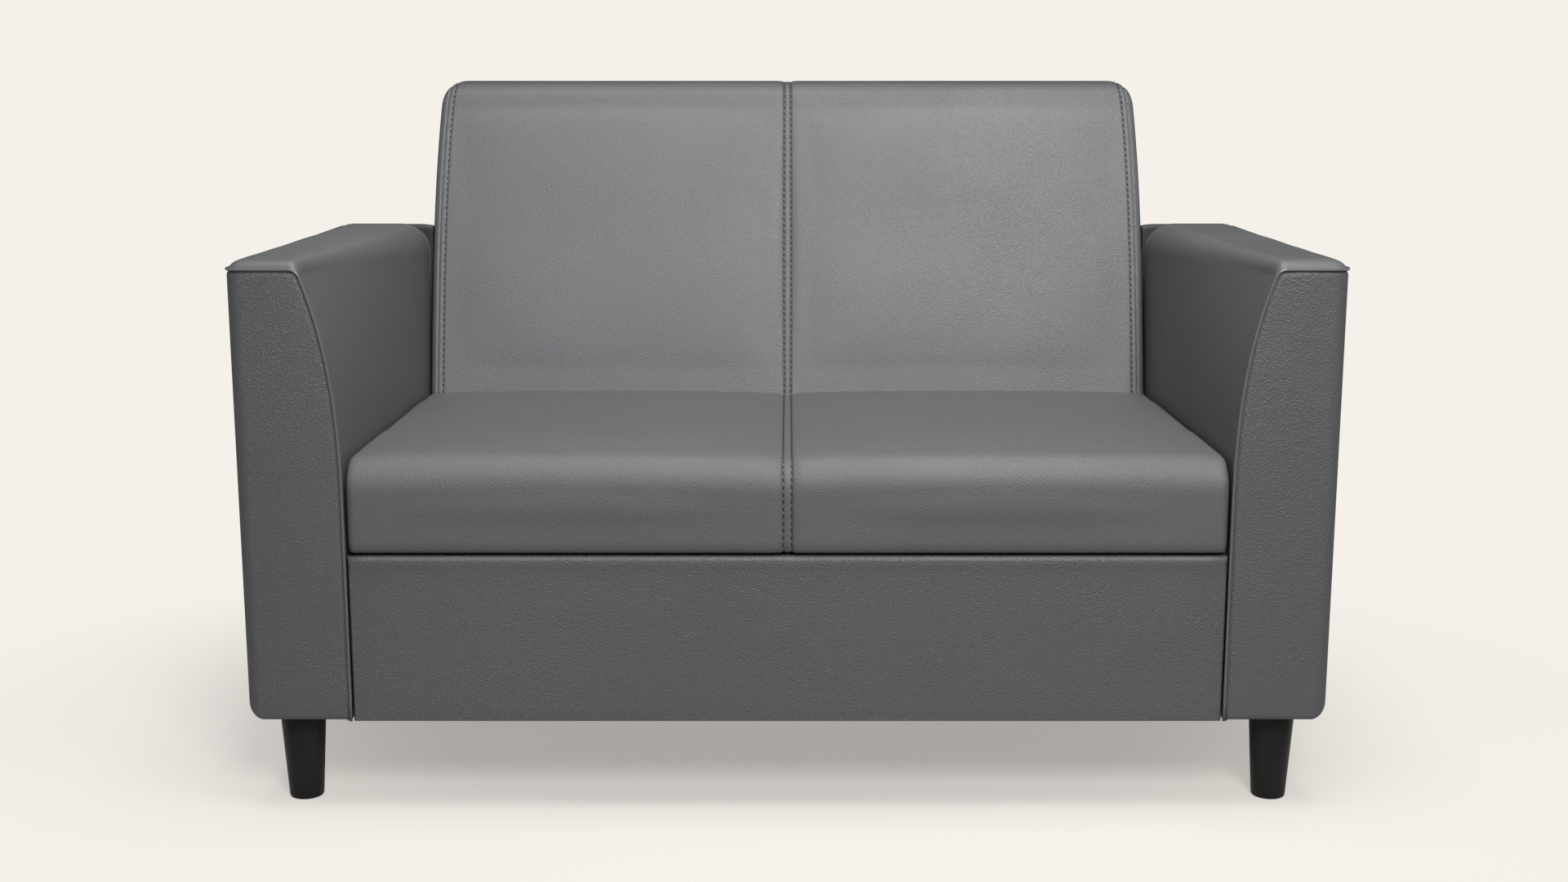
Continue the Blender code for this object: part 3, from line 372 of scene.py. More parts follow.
def add_node(tree, kind, feeds=(), **settings):
    """A node with its settings. Its inputs are fed by sockets or hold plain values."""
    made = tree.nodes.new(kind)
    for name, value in settings.items():
        setattr(made, name, value)
    for label, value in dict(feeds).items():
        if isinstance(value, bpy.types.NodeSocket):
            tree.links.new(value, made.inputs[label])
        else:
            made.inputs[label].default_value = value
    return made


def new_group(name, inputs, outputs):
    """A shader node group with named sockets. Inputs have a kind and a default.

    Gives the tree, the sockets that it is given and those that it puts out."""
    tree = bpy.data.node_groups.new(name, "ShaderNodeTree")
    for label, kind, default in inputs:
        socket = tree.interface.new_socket(label, in_out="INPUT", socket_type=f"NodeSocket{kind}")
        if default is not None:
            socket.default_value = default
    for label, kind in outputs:
        tree.interface.new_socket(label, in_out="OUTPUT", socket_type=f"NodeSocket{kind}")
    return tree, tree.nodes.new("NodeGroupInput").outputs, tree.nodes.new("NodeGroupOutput").inputs


def maths(tree, operation, *values):
    """A math node fed by sockets or plain numbers."""
    return add_node(tree, "ShaderNodeMath", enumerate(values), operation=operation).outputs[0]


def scaled(tree, vector, scale):
    return add_node(tree, "ShaderNodeVectorMath", {0: vector, "Scale": scale}, operation="SCALE").outputs[0]


def ranged(tree, value, low, high, out_low, out_high, **settings):
    """A value carried from one range to another."""
    feeds = {"Value": value, "From Min": low, "From Max": high, "To Min": out_low, "To Max": out_high}
    return add_node(tree, "ShaderNodeMapRange", feeds, **settings).outputs["Result"]


def noise_at(tree, vector, scale, detail=2.0, roughness=0.5, output="Fac"):
    feeds = {"Vector": vector, "Scale": scale, "Detail": detail, "Roughness": roughness}
    return add_node(tree, "ShaderNodeTexNoise", feeds).outputs[output]


def grain_group():
    """Pebbles of pressed leather: small slanted cells with fine creases between them."""
    tree, given, out = new_group(
        "pebbled_grain",
        [("Vector", "Vector", None), ("Cells per Metre", "Float", 300.0),
         ("Drawn Out", "Vector", (1.0, 1.0, 1.0)), ("Slant", "Vector", (0.0, 0.0, 0.0))],
        [("Height", "Float"), ("Crease", "Float")])
    turned = add_node(tree, "ShaderNodeMapping",
                      {"Vector": given["Vector"], "Rotation": given["Slant"], "Scale": given["Drawn Out"]},
                      vector_type="TEXTURE").outputs["Vector"]
    warp = noise_at(tree, turned, 150.0, 1.0, output="Color")
    shifted = add_node(tree, "ShaderNodeVectorMath", {0: warp, 1: (GRAIN_WARP,) * 3, 2: turned},
                       operation="MULTIPLY_ADD").outputs[0]
    cells = add_node(tree, "ShaderNodeTexVoronoi",
                     {"Vector": shifted, "Scale": given["Cells per Metre"], "Smoothness": 0.6,
                      "Randomness": 0.9}, feature="SMOOTH_F1").outputs["Distance"]
    dome = maths(tree, "MULTIPLY", maths(tree, "SUBTRACT", 1.0, cells), GRAIN_DOME)
    ripple = noise_at(tree, shifted, given["Cells per Metre"], 0.0)
    height = maths(tree, "MULTIPLY_ADD", ripple, GRAIN_RIPPLE, dome)
    strength = ranged(tree, noise_at(tree, given["Vector"], 9.0), 0.30, 0.70, 0.72, 1.10)
    tree.links.new(maths(tree, "MULTIPLY", height, strength), out["Height"])
    tree.links.new(ranged(tree, cells, 0.35, 0.75, 0.0, 1.0), out["Crease"])
    return tree


def tone_group():
    """A colour that drifts a little over a surface and darkens in the grain's creases as painted shade, with
    roughness that drifts with it.
    """
    tree, given, out = new_group(
        "drifting_tone",
        [("Vector", "Vector", None), ("Colour", "Color", (0.5, 0.5, 0.5, 1.0)), ("Crease", "Float", 0.0),
         ("Patch Scale", "Float", 5.0), ("Drift", "Float", 0.1), ("Rough Low", "Float", 0.4),
         ("Rough High", "Float", 0.5)],
        [("Colour", "Color"), ("Roughness", "Float")])
    cloud = noise_at(tree, given["Vector"], given["Patch Scale"], 4.0)
    swing = maths(tree, "MULTIPLY", maths(tree, "SUBTRACT", cloud, 0.5), given["Drift"])
    # Painted shade: the colour darkens in the grain's creases.
    crease_shade = maths(tree, "MULTIPLY", given["Crease"], CREASE_PAINTED_SHADE)
    level = maths(tree, "SUBTRACT", maths(tree, "ADD", swing, 1.0), crease_shade)
    tree.links.new(scaled(tree, given["Colour"], level), out["Colour"])
    rough = ranged(tree, cloud, 0.3, 0.7, given["Rough Low"], given["Rough High"])
    tree.links.new(rough, out["Roughness"])
    return tree


def weave_group():
    """Threads that cross over and under each other."""
    tree, given, out = new_group("weave", [("Vector", "Vector", None), ("Threads per Metre", "Float", 400.0)],
                                 [("Height", "Float")])
    parts = add_node(tree, "ShaderNodeSeparateXYZ", {0: given["Vector"]})
    waves = []
    for axis in "XYZ":
        turn = maths(tree, "MULTIPLY", parts.outputs[axis], given["Threads per Metre"])
        waves.append(maths(tree, "SINE", maths(tree, "MULTIPLY", turn, math.pi)))
    crossed = maths(tree, "MULTIPLY", waves[0], maths(tree, "ADD", waves[1], waves[2]))
    tree.links.new(ranged(tree, crossed, -1.0, 1.0, 0.0, 1.0), out["Height"])
    return tree


def timber_group():
    """Growth rings and pores drawn out along a board."""
    tree, given, out = new_group(
        "timber_grain",
        [("Vector", "Vector", None), ("Light", "Color", (0.6, 0.4, 0.2, 1.0)),
         ("Dark", "Color", (0.4, 0.25, 0.12, 1.0)), ("Drawn Out", "Vector", (1.0, 1.0, 1.0))],
        [("Colour", "Color"), ("Height", "Float")])
    drawn = add_node(tree, "ShaderNodeVectorMath", {0: given["Vector"], 1: given["Drawn Out"]},
                     operation="MULTIPLY").outputs[0]
    rings = add_node(tree, "ShaderNodeTexWave",
                     {"Vector": drawn, "Scale": 14.0, "Distortion": 6.0, "Detail": 3.0},
                     wave_type="RINGS", rings_direction="SPHERICAL").outputs["Fac"]
    pores = noise_at(tree, drawn, 260.0, 3.0, 0.7)
    share = maths(tree, "ADD", maths(tree, "MULTIPLY", rings, 0.7), maths(tree, "MULTIPLY", pores, 0.3))
    blend = add_node(tree, "ShaderNodeMix", {"Factor": share, 6: given["Light"], 7: given["Dark"]},
                     data_type="RGBA")
    tree.links.new(blend.outputs[2], out["Colour"])
    tree.links.new(share, out["Height"])
    return tree


GROUP_MAKERS = {"pebbled_grain": grain_group, "drifting_tone": tone_group, "weave": weave_group,
                "timber_grain": timber_group}
GROUPS = {}


def group_node(tree, name, **values):
    """Places one of the shared effects in a material, with its own values."""
    if name not in GROUPS:
        GROUPS[name] = GROUP_MAKERS[name]()
    coordinates = tree.nodes.get("Texture Coordinate") or tree.nodes.new("ShaderNodeTexCoord")
    feeds = {label.replace("_", " "): value for label, value in values.items()}
    feeds["Vector"] = coordinates.outputs["Object"]
    return add_node(tree, "ShaderNodeGroup", feeds, node_tree=GROUPS[name])


# Materials

def new_material(name, colour, roughness, metallic=0.0, specular=0.5):
    material = bpy.data.materials.new(name)
    material.use_nodes = True
    shader = material.node_tree.nodes["Principled BSDF"]
    for label, value in (("Base Color", (*colour, 1.0)), ("Roughness", roughness), ("Metallic", metallic),
                         ("Specular IOR Level", specular)):
        shader.inputs[label].default_value = value
    return material, material.node_tree, shader


def toned(tree, shader, colour, low, high, patches, drift):
    """Gives a shader a colour and a roughness that drift a little."""
    tone = group_node(tree, "drifting_tone", Colour=(*colour, 1.0), Patch_Scale=patches, Drift=drift,
                      Rough_Low=low, Rough_High=high)
    tree.links.new(tone.outputs["Colour"], shader.inputs["Base Color"])
    tree.links.new(tone.outputs["Roughness"], shader.inputs["Roughness"])
    return tone


def add_bump(tree, shader, height, distance):
    bump = add_node(tree, "ShaderNodeBump", {"Distance": distance, "Height": height})
    tree.links.new(bump.outputs["Normal"], shader.inputs["Normal"])


def leather_material(name, colour, slant, cells, depth, rough, crest=None):
    """Grey pebbled leather whose grain is drawn out along a slant. It may darken between two heights, as
    painted shade.
    """
    material, tree, shader = new_material(name, colour, rough)
    grain = group_node(tree, "pebbled_grain", Cells_per_Metre=cells, Drawn_Out=(1.0, 1.0, 1.5), Slant=slant)
    tone = toned(tree, shader, colour, rough - 0.04, rough + 0.04, 4.0, 0.10)
    # The grain's creases feed the tone's painted shade.
    tree.links.new(grain.outputs["Crease"], tone.inputs["Crease"])
    # Painted shade: the colour darkens towards the top of the back's crest.
    if crest:
        start, end, share = crest
        place = tree.nodes["Texture Coordinate"].outputs["Object"]
        height = add_node(tree, "ShaderNodeSeparateXYZ", {0: place}).outputs["Z"]
        level = ranged(tree, height, start, end, 1.0, share)
        tree.links.new(scaled(tree, colour, level), tone.inputs["Colour"])
    add_bump(tree, shader, grain.outputs["Height"], depth)
    return material


def cloth_material(name, colour, threads, depth):
    material, tree, shader = new_material(name, colour, CLOTH_ROUGH, specular=0.2)
    weave = group_node(tree, "weave", Threads_per_Metre=threads)
    toned(tree, shader, colour, CLOTH_ROUGH - 0.05, CLOTH_ROUGH, 30.0, 0.3)
    add_bump(tree, shader, weave.outputs["Height"], depth)
    return material


def timber_material(name, light, dark, drawn):
    material, tree, shader = new_material(name, light, 0.7, specular=0.3)
    timber = group_node(tree, "timber_grain", Light=(*light, 1.0), Dark=(*dark, 1.0), Drawn_Out=drawn)
    tree.links.new(timber.outputs["Colour"], shader.inputs["Base Color"])
    add_bump(tree, shader, timber.outputs["Height"], 0.0003)
    return material


def plain_material(name, colour, low, high, patches, drift=0.15, metallic=0.0, specular=0.5):
    """A plain finish with a little drift in its tone."""
    material, tree, shader = new_material(name, colour, high, metallic, specular)
    toned(tree, shader, colour, low, high, patches, drift)
    return material


# What a user would change

class SofaSizes(bpy.types.PropertyGroup):
    """Sizes of the sofa's leather work."""
    leather: bpy.props.FloatProperty(
        name="Leather", description="Thickness of the leather", default=0.0020, unit="LENGTH")
    edge_seam: bpy.props.FloatProperty(
        name="Edge seam", description="Distance of the back's side seams from its sides", default=0.0115,
        unit="LENGTH")
    edge_stitches: bpy.props.FloatProperty(
        name="Edge stitches", description="Distance of the back's outer stitches from its sides",
        default=0.0200, unit="LENGTH")
    seam_width: bpy.props.FloatProperty(
        name="Seam width", description="Distance between the two lines of stitches of a middle seam",
        default=0.0095, unit="LENGTH")
    stitch_pitch: bpy.props.FloatProperty(
        name="Stitch pitch", description="Distance from one stitch to the next", default=0.0088,
        unit="LENGTH")
    stitch_length: bpy.props.FloatProperty(
        name="Stitch length", description="Length of one stitch", default=0.0064, unit="LENGTH")
    thread: bpy.props.FloatProperty(
        name="Thread", description="Width of the thread", default=0.0017, unit="LENGTH")
    seat_swell: bpy.props.FloatProperty(
        name="Seat swell", description="How far the seat may swell between its seams", default=0.0060,
        unit="LENGTH")
    back_swell: bpy.props.FloatProperty(
        name="Back swell", description="How far the back may swell between its seams", default=0.0060,
        unit="LENGTH")
    voxel: bpy.props.FloatProperty(
        name="Cushion mesh", description="Size of the faces that a cushion is simulated with", default=0.006,
        unit="LENGTH")


class SofaColours(bpy.types.PropertyGroup):
    """Colours of the sofa and its studio."""
    leather: bpy.props.FloatVectorProperty(
        name="Leather", description="Colour of the leather", subtype="COLOR", size=3,
        default=(0.086, 0.088, 0.092))
    thread: bpy.props.FloatVectorProperty(
        name="Thread", description="Colour of the topstitches", subtype="COLOR", size=3,
        default=(0.016, 0.016, 0.018))
    legs: bpy.props.FloatVectorProperty(
        name="Legs", description="Colour of the lacquered legs", subtype="COLOR", size=3,
        default=(0.008, 0.008, 0.0085))
    floor: bpy.props.FloatVectorProperty(
        name="Floor", description="Colour of the floor", subtype="COLOR", size=3,
        default=(0.65, 0.618, 0.580))
    background: bpy.props.FloatVectorProperty(
        name="Background", description="Colour of the backdrop", subtype="COLOR", size=3,
        default=(0.913, 0.871, 0.823))


# For each kind of leather the slant of its grain, its cells per metre, the grain's depth, its roughness and
# the lift of the sofa's colour. The lifts make lighter and darker copies of the one leather as painted light:
# painted sheen on the back, painted light on the seat and arms, a painted highlight on the cord and painted
# shade on the strip in the gap beside the back. The slants differ as those of cut hides do.
LEATHER_KINDS = {
    "arm": ((0.0, -0.70, 0.3), 800.0, 0.00018, 0.48, 1.06),
    "front": ((0.0, -0.75, 0.3), 720.0, 0.00082, 0.48, 1.0),
    # The back's copy is lighter, painted sheen.
    "back": ((0.0, -0.80, 0.3), 760.0, 0.00044, 0.48, 1.50),
    "seat": ((0.0, -1.05, 0.4), 740.0, 0.00046, 0.56, 1.12),
    # The cord's copy is lighter, a painted highlight.
    "cord": ((0.3, 0.3, 0.3), 800.0, 0.00003, 0.22, 1.3),
    # The gap strip's copy is darker, painted shade.
    "gap": ((0.0, -0.70, 0.3), 800.0, 0.00010, 0.60, 0.25)}
# The heights between which painted shade darkens the back's crest, and the share of its colour that is left
CREST_PAINTED_SHADE = (BACK_HIGH.z - 0.044, BACK_HIGH.z - 0.003, 0.52)
LEATHERS = {}


def leather(kind):
    """The leather of a group of pieces, made when it is first asked for."""
    if kind not in LEATHERS:
        slant, cells, depth, rough, lift = LEATHER_KINDS[kind]
        # The lift scales the sofa's leather colour into lighter and darker copies, painted light and painted
        # shade.
        colour = tuple(channel * lift for channel in bpy.context.scene.sofa_colours.leather)
        # Only the back's leather gets the painted shade at its crest.
        crest = CREST_PAINTED_SHADE if kind == "back" else None
        LEATHERS[kind] = leather_material(f"leather_{kind}", colour, slant, cells, depth, rough, crest)
    return LEATHERS[kind]


# Arms

def puff(distance):
    """How far the top of an arm has risen at a distance from its cord, as a share of its crown."""
    left = 1.0 - clamp(distance / CROWN_REACH)
    return 1.0 - left * left


def tuck(distance, depth):
    """How far leather dives under a cord at a distance from the cord's line."""
    left = 1.0 - clamp((distance - TUCK_FLOOR) / (TUCK_REACH - TUCK_FLOOR))
    return depth * left * left


def arm_round(share):
    """The round between an arm's inner face and its top: its flare, radius, start and centre."""
    flare = ARM_FLARE * (1.0 - share)
    radius = mix(FRONT_ROUND, REAR_ROUND, share)
    slope = flare * FLARE_POWER / (ARM_EDGE - FLARE_START)
    rise = Vector((slope, 1.0)).normalized()
    run = radius * math.tan(math.acos(rise.x) / 2.0)
    start = Vector((ARM_INNER + flare, ARM_EDGE)) - rise * run
    return flare, radius, start, start + Vector((rise.y, -rise.x)) * radius


def flank_x(flare, height):
    """How far out an arm's inner face lies at a height."""
    return ARM_INNER + flare * clamp((height - FLARE_START) / (ARM_EDGE - FLARE_START)) ** FLARE_POWER


def outer_reach(depth):
    """How far out an arm's top reaches at a depth, round the corners of its plan."""
    near = min(depth, ARM_DEPTH - depth)
    if near >= PANEL_ROUND:
        return ARM_OUTER - EDGE_START
    rest = (PANEL_ROUND - EDGE_START) ** 2 - (PANEL_ROUND - near) ** 2
    return ARM_OUTER - PANEL_ROUND + math.sqrt(max(rest, 0.0))


FOOT_STEPS = 10
FLANK_STEPS = 30
ROUND_STEPS = 14
ROUND_END = FOOT_STEPS + FLANK_STEPS + ROUND_STEPS
SIDE_STEPS = 26
CORNER_STEPS = 10
CORD_SIDE_STEPS = 40
CORD_CORNER_STEPS = 12
ARM_MIDDLE = Vector((mix(ARM_INNER, ARM_OUTER, 0.6), FRONT + ARM_DEPTH / 2.0, mix(ARM_FOOT, ARM_EDGE, 0.5)))
TOP_SHARES = (0.2, 0.4, 0.6, 0.74, 0.82, 0.87, 0.91, 0.94, 0.962, 0.978, 0.99, 1.0)


def arm_section(share, reach):
    """An arm's inner face, round and top: places, their outward directions and their share of the crown."""
    flare, radius, start, centre = arm_round(share)
    line = []
    for step in range(FOOT_STEPS):
        line.append((ARM_INNER, mix(ARM_FOOT, FLARE_START, step / FOOT_STEPS), -1.0, 0.0, 0.0))
    for step in range(FLANK_STEPS):
        height = mix(FLARE_START, start.y, step / FLANK_STEPS)
        out = Vector((-PROBE, flank_x(flare, height + PROBE) - flank_x(flare, height))).normalized()
        line.append((flank_x(flare, height), height, out.x, out.y, 0.0))
    first = math.atan2(start.y - centre.y, start.x - centre.x) % (2.0 * math.pi)
    for step in range(ROUND_STEPS + 1):
        angle = mix(first, math.pi / 2.0, step / ROUND_STEPS)
        lift = step / ROUND_STEPS
        line.append((centre.x + radius * math.cos(angle), centre.y + radius * math.sin(angle),
                     math.cos(angle), math.sin(angle), lift))
    for share_out in TOP_SHARES:
        line.append((mix(centre.x, reach, share_out), ARM_EDGE, 0.0, 1.0, 1.0))
    return line


def inner_place(depth, row):
    """Where the inner and top leather of an arm lies."""
    x, z, out_x, out_z, lift = arm_section(depth / ARM_DEPTH, outer_reach(depth))[row]
    end = min(depth, ARM_DEPTH - depth)
    side = ARM_OUTER - x
    top = ease(lift)
    rise = mix(FRONT_CROWN, REAR_CROWN, clamp(depth / ARM_DEPTH)) * puff(end) * puff(side) * top
    middle = math.sin(math.pi * clamp(depth / ARM_DEPTH)) * ease((z - FLARE_START) / FLANK_SWELL_RISE)
    rise += ARM_SWELL * middle * (1.0 - top)
    sunk = tuck(end, INNER_TUCK)
    if row > ROUND_END:
        sunk = max(sunk, tuck(outer_reach(depth) + EDGE_START - x, INNER_TUCK))
    ripple = noise.noise(Vector((x * RIPPLE_SCALE, depth * RIPPLE_SCALE, z * RIPPLE_SCALE)))
    rise += ripple * RIPPLE * clamp(end / RIPPLE_REACH) - sunk
    return Vector((x + out_x * rise, FRONT + depth, z + out_z * rise))


def arm_inner_leather():
    """The leather over an arm's inner face and top, puffed up beside the cord."""
    ends = (0.0012, 0.0021, 0.0031, 0.0042, 0.0056, 0.0080, 0.0115, 0.0155, 0.0200, 0.0260)
    runs = [mix(ends[-1], ARM_DEPTH - ends[-1], share) for share in spread(SIDE_STEPS)[1:-1]]
    depths = [*ends, *runs, *(ARM_DEPTH - depth for depth in reversed(ends))]
    bm = grid_sheet(depths, range(ROUND_END + 1 + len(TOP_SHARES)), inner_place)
    face_away(bm, ARM_MIDDLE)
    return bm


def front_edge(share, height):
    """How far out the cord runs on an arm's end at a height, round its upper corner too."""
    flare, radius, start, centre = arm_round(share)
    if height <= start.y:
        return flank_x(flare, height)
    up = min(height - centre.y, radius)
    return centre.x - math.sqrt(max(radius * radius - up * up, 0.0))


def edge_distance(share, x, z):
    """How far a place on an arm's end is from the line of the cord."""
    flare, radius, start, centre = arm_round(share)
    if x > centre.x:
        return ARM_EDGE - z
    if z > start.y:
        return radius - (Vector((x, z)) - centre).length
    return min(x - flank_x(flare, z), ARM_EDGE - z)


def outer_rows():
    """Rows of an arm's outer leather: its lip, the round at its foot and its height up to the cord."""
    rows = [("lip", 0.0), ("lip", 0.5)]
    rows += [("round", angle * math.pi / 2.0) for angle in spread(8)]
    rise = [0.06, 0.12, 0.2, 0.28, 0.36, 0.44, 0.52, 0.58, 0.64, 0.7, 0.75, 0.8, 0.84, 0.88, 0.91, 0.935]
    rise += [0.952, 0.963, 0.9705, 0.9765, 0.9815, 0.9858, 0.9895, 0.9925, 0.995, 0.997, 0.9987, 1.0]
    return rows + [("rise", share) for share in rise]


def foot_offsets(row):
    """How far a row lies in from an arm's front and side, and its height at each."""
    kind, value = row
    if kind == "lip":
        return mix(FOOT_LIP, FOOT_ROUND, value), mix(FOOT_LIP, SIDE_FOOT_ROUND, value), ARM_FOOT, ARM_FOOT
    if kind == "round":
        near, rise = 1.0 - math.sin(value), 1.0 - math.cos(value)
        return (FOOT_ROUND * near, SIDE_FOOT_ROUND * near, ARM_FOOT + FOOT_ROUND * rise,
                ARM_FOOT + SIDE_FOOT_ROUND * rise)
    top = ARM_EDGE - EDGE_START
    return 0.0, 0.0, mix(ARM_FOOT + FOOT_ROUND, top, value), mix(ARM_FOOT + SIDE_FOOT_ROUND, top, value)


def outer_place(column, row):
    """Where the front, outer and rear leather of an arm lies."""
    part, share = column
    in_front, in_side, low_front, low_side = foot_offsets(row)
    corner_x = ARM_OUTER - max(PANEL_ROUND, in_side)
    corner_y = max(PANEL_ROUND, in_front)
    if part in ("front", "rear"):
        end = 0.0 if part == "front" else 1.0
        edge = front_edge(end, low_front) + EDGE_START
        x, z = mix(min(edge, corner_x), corner_x, share), low_front
        sunk = tuck(edge_distance(end, x, z), OUTER_TUCK)
        swell = FRONT_SWELL * math.sin(math.pi * share) * ease((z - ARM_FOOT) / FRONT_SWELL_RISE)
        depth = in_front + sunk - swell
        return Vector((x, FRONT + (depth if part == "front" else ARM_DEPTH - depth), z))
    if part == "side":
        z = low_side
        sunk = tuck(ARM_EDGE - z, OUTER_TUCK)
        up = clamp((z - ARM_FOOT) / (ARM_EDGE - ARM_FOOT))
        swell = SIDE_SWELL * math.sin(math.pi * share) * math.sin(math.pi * up)
        y = FRONT + mix(corner_y, ARM_DEPTH - corner_y, share)
        return Vector((ARM_OUTER - in_side - sunk + swell, y, z))
    angle = share * math.pi / 2.0
    blend = ease(share)
    z = mix(low_front, low_side, blend)
    sunk = tuck(ARM_EDGE - z, OUTER_TUCK)
    across = max(PANEL_ROUND - in_side, 0.0) - sunk
    along = max(PANEL_ROUND - in_front, 0.0) - sunk
    x = corner_x + max(across, 0.0) * math.sin(angle)
    depth = corner_y - max(along, 0.0) * math.cos(angle)
    return Vector((x, FRONT + (depth if part == "front_corner" else ARM_DEPTH - depth), z))


def arm_outer_leather():
    """The leather of an arm's front, outer side and rear, in one piece, turned under at its foot."""
    flat = (0.0, 0.007, 0.014, 0.021, 0.029, 0.038, 0.05, 0.07, 0.1, 0.15, 0.25, 0.4, 0.55, 0.7, 0.85, 1.0)
    columns = [("front", share) for share in flat]
    columns += [("front_corner", share) for share in spread(CORNER_STEPS)[1:]]
    columns += [("side", share) for share in spread(SIDE_STEPS)[1:]]
    columns += [("rear_corner", share) for share in reversed(spread(CORNER_STEPS)[:-1])]
    columns += [("rear", share) for share in reversed(flat[:-1])]
    bm = grid_sheet(columns, outer_rows(), outer_place)
    bmesh.ops.remove_doubles(bm, verts=bm.verts, dist=0.00002)
    face_away(bm, ARM_MIDDLE)
    return bm


# The strip beside the back: its foot, how far it lies behind the arm and over it, and off the back. It
# tucks in a little above a height, and its top falls towards the back.
GAP_FOOT = SEAT_TOP_REAR + 0.004
GAP_BEHIND = 0.0032
GAP_OVER_ARM = 0.006
GAP_OVER_TOP = 0.003
GAP_OFF_BACK = 0.0006
GAP_TUCK = 0.0014
GAP_TUCK_HEIGHT = 0.645
GAP_TUCK_RISE = 0.02
GAP_TOP = 0.0018
GAP_FALL = 0.0030
GAP_FALL_START = 0.019
GAP_FALL_REACH = 0.0265


def gap_place(share, up):
    """Where the strip of leather lies that closes the gap between an arm's rear end and the back."""
    height = mix(GAP_FOOT, ARM_EDGE, up)
    near = back_half(height) + GAP_OFF_BACK - GAP_TUCK * ease((height - GAP_TUCK_HEIGHT) / GAP_TUCK_RISE)
    x = mix(near, front_edge(1.0, height) + GAP_OVER_ARM + GAP_OVER_TOP * ease(up), share)
    fall = clamp((ARM_INNER + GAP_FALL_START - x) / GAP_FALL_REACH)
    top = ARM_EDGE + GAP_TOP - GAP_FALL * fall * fall
    return Vector((x, FRONT + ARM_DEPTH + GAP_BEHIND, mix(GAP_FOOT, top, up)))


def arm_gap_leather():
    """A strip behind an arm's rear end that closes the gap to the back. Its leather is painted dark, as shade
    in the gap.
    """
    bm = grid_sheet(spread(12), spread(40), gap_place)
    face_away(bm, Vector((ARM_INNER, FRONT + ARM_DEPTH + 0.1, ARM_EDGE)))
    return bm


def end_path(share, depth, sink):
    """The cord's route up one end of an arm, as far as the corner of its plan."""
    section = arm_section(share, ARM_OUTER - PANEL_ROUND)
    return [Vector((x - out_x * sink, FRONT + depth, z - out_z * CORD_SINK))
            for x, z, out_x, out_z, lift in section]


def arm_cord():
    """The piped cord from an arm's front foot round its whole seam to its rear foot."""
    front = end_path(0.0, CORD_SINK, CORD_SINK)
    rear = end_path(1.0, ARM_DEPTH - CORD_SINK, CORD_RADIUS)
    radius, centre = PANEL_ROUND - CORD_SINK, ARM_OUTER - PANEL_ROUND
    height = front[-1].z
    turns = [share * math.pi / 2.0 for share in spread(CORD_CORNER_STEPS)[1:]]
    corner = [(centre + radius * math.sin(turn), PANEL_ROUND - radius * math.cos(turn)) for turn in turns]
    path = front + [Vector((x, FRONT + depth, height)) for x, depth in corner]
    path += [Vector((ARM_OUTER - CORD_SINK, FRONT + mix(PANEL_ROUND, ARM_DEPTH - PANEL_ROUND, share), height))
             for share in spread(CORD_SIDE_STEPS)[1:-1]]
    path += [Vector((x, FRONT + ARM_DEPTH - depth, height)) for x, depth in reversed(corner)]
    return cord_mesh(path + rear[::-1], CORD_RADIUS, 4)


# Cushions

def front_y(height):
    """Where the reclined front of the back lies at a height."""
    return BACK_FOOT.x + (height - BACK_FOOT.y) * math.tan(BACK_LEAN)


def rear_y(height):
    """Where the leaning rear of the back lies at a height."""
    return REAR_FOOT.x + (height - REAR_FOOT.y) * math.tan(REAR_LEAN)


def back_half(height):
    """Half the width of the back, which narrows a little towards its top."""
    share = clamp((height - BACK_FOOT.y) / (BACK_HIGH.z - BACK_FOOT.y))
    return BACK_WIDE - BACK_TAPER * share ** BACK_TAPER_POWER


def seat_block():
    """The seat cushion before it swells."""
    half = SEAT_HIGH.x
    gap = SEAT_BACK_GAP / math.cos(BACK_LEAN)

    def corner(side, rear, top):
        if top > 0:
            height = SEAT_TOP_REAR if rear > 0 else SEAT_TOP_FRONT
        else:
            height = SEAT_LOW.z
        depth = front_y(height) - gap if rear > 0 else SEAT_LOW.y
        return Vector((side * half, depth, height))

    bm = box_mesh(corner)
    middle = (SEAT_LOW.y + SEAT_HIGH.y) / 2.0
    halfway = (SEAT_LOW.z + SEAT_HIGH.z) / 2.0
    round_edges(bm, edges_where(bm, lambda co: co.y < middle and co.z > halfway), SEAT_ROLL, 14)
    foot = edges_where(bm, lambda co: co.y < middle and co.z < halfway - SEAT_ROLL)
    round_edges(bm, foot, SEAT_FOOT_ROUND, 4)
    round_edges(bm, edges_where(bm, lambda co: co.y > middle and co.z > halfway), SEAT_REAR_ROUND, 5)
    round_edges(bm, edges_where(bm, lambda co: abs(co.x) > half - SAME), SEAT_END_ROUND, 6)
    return bm


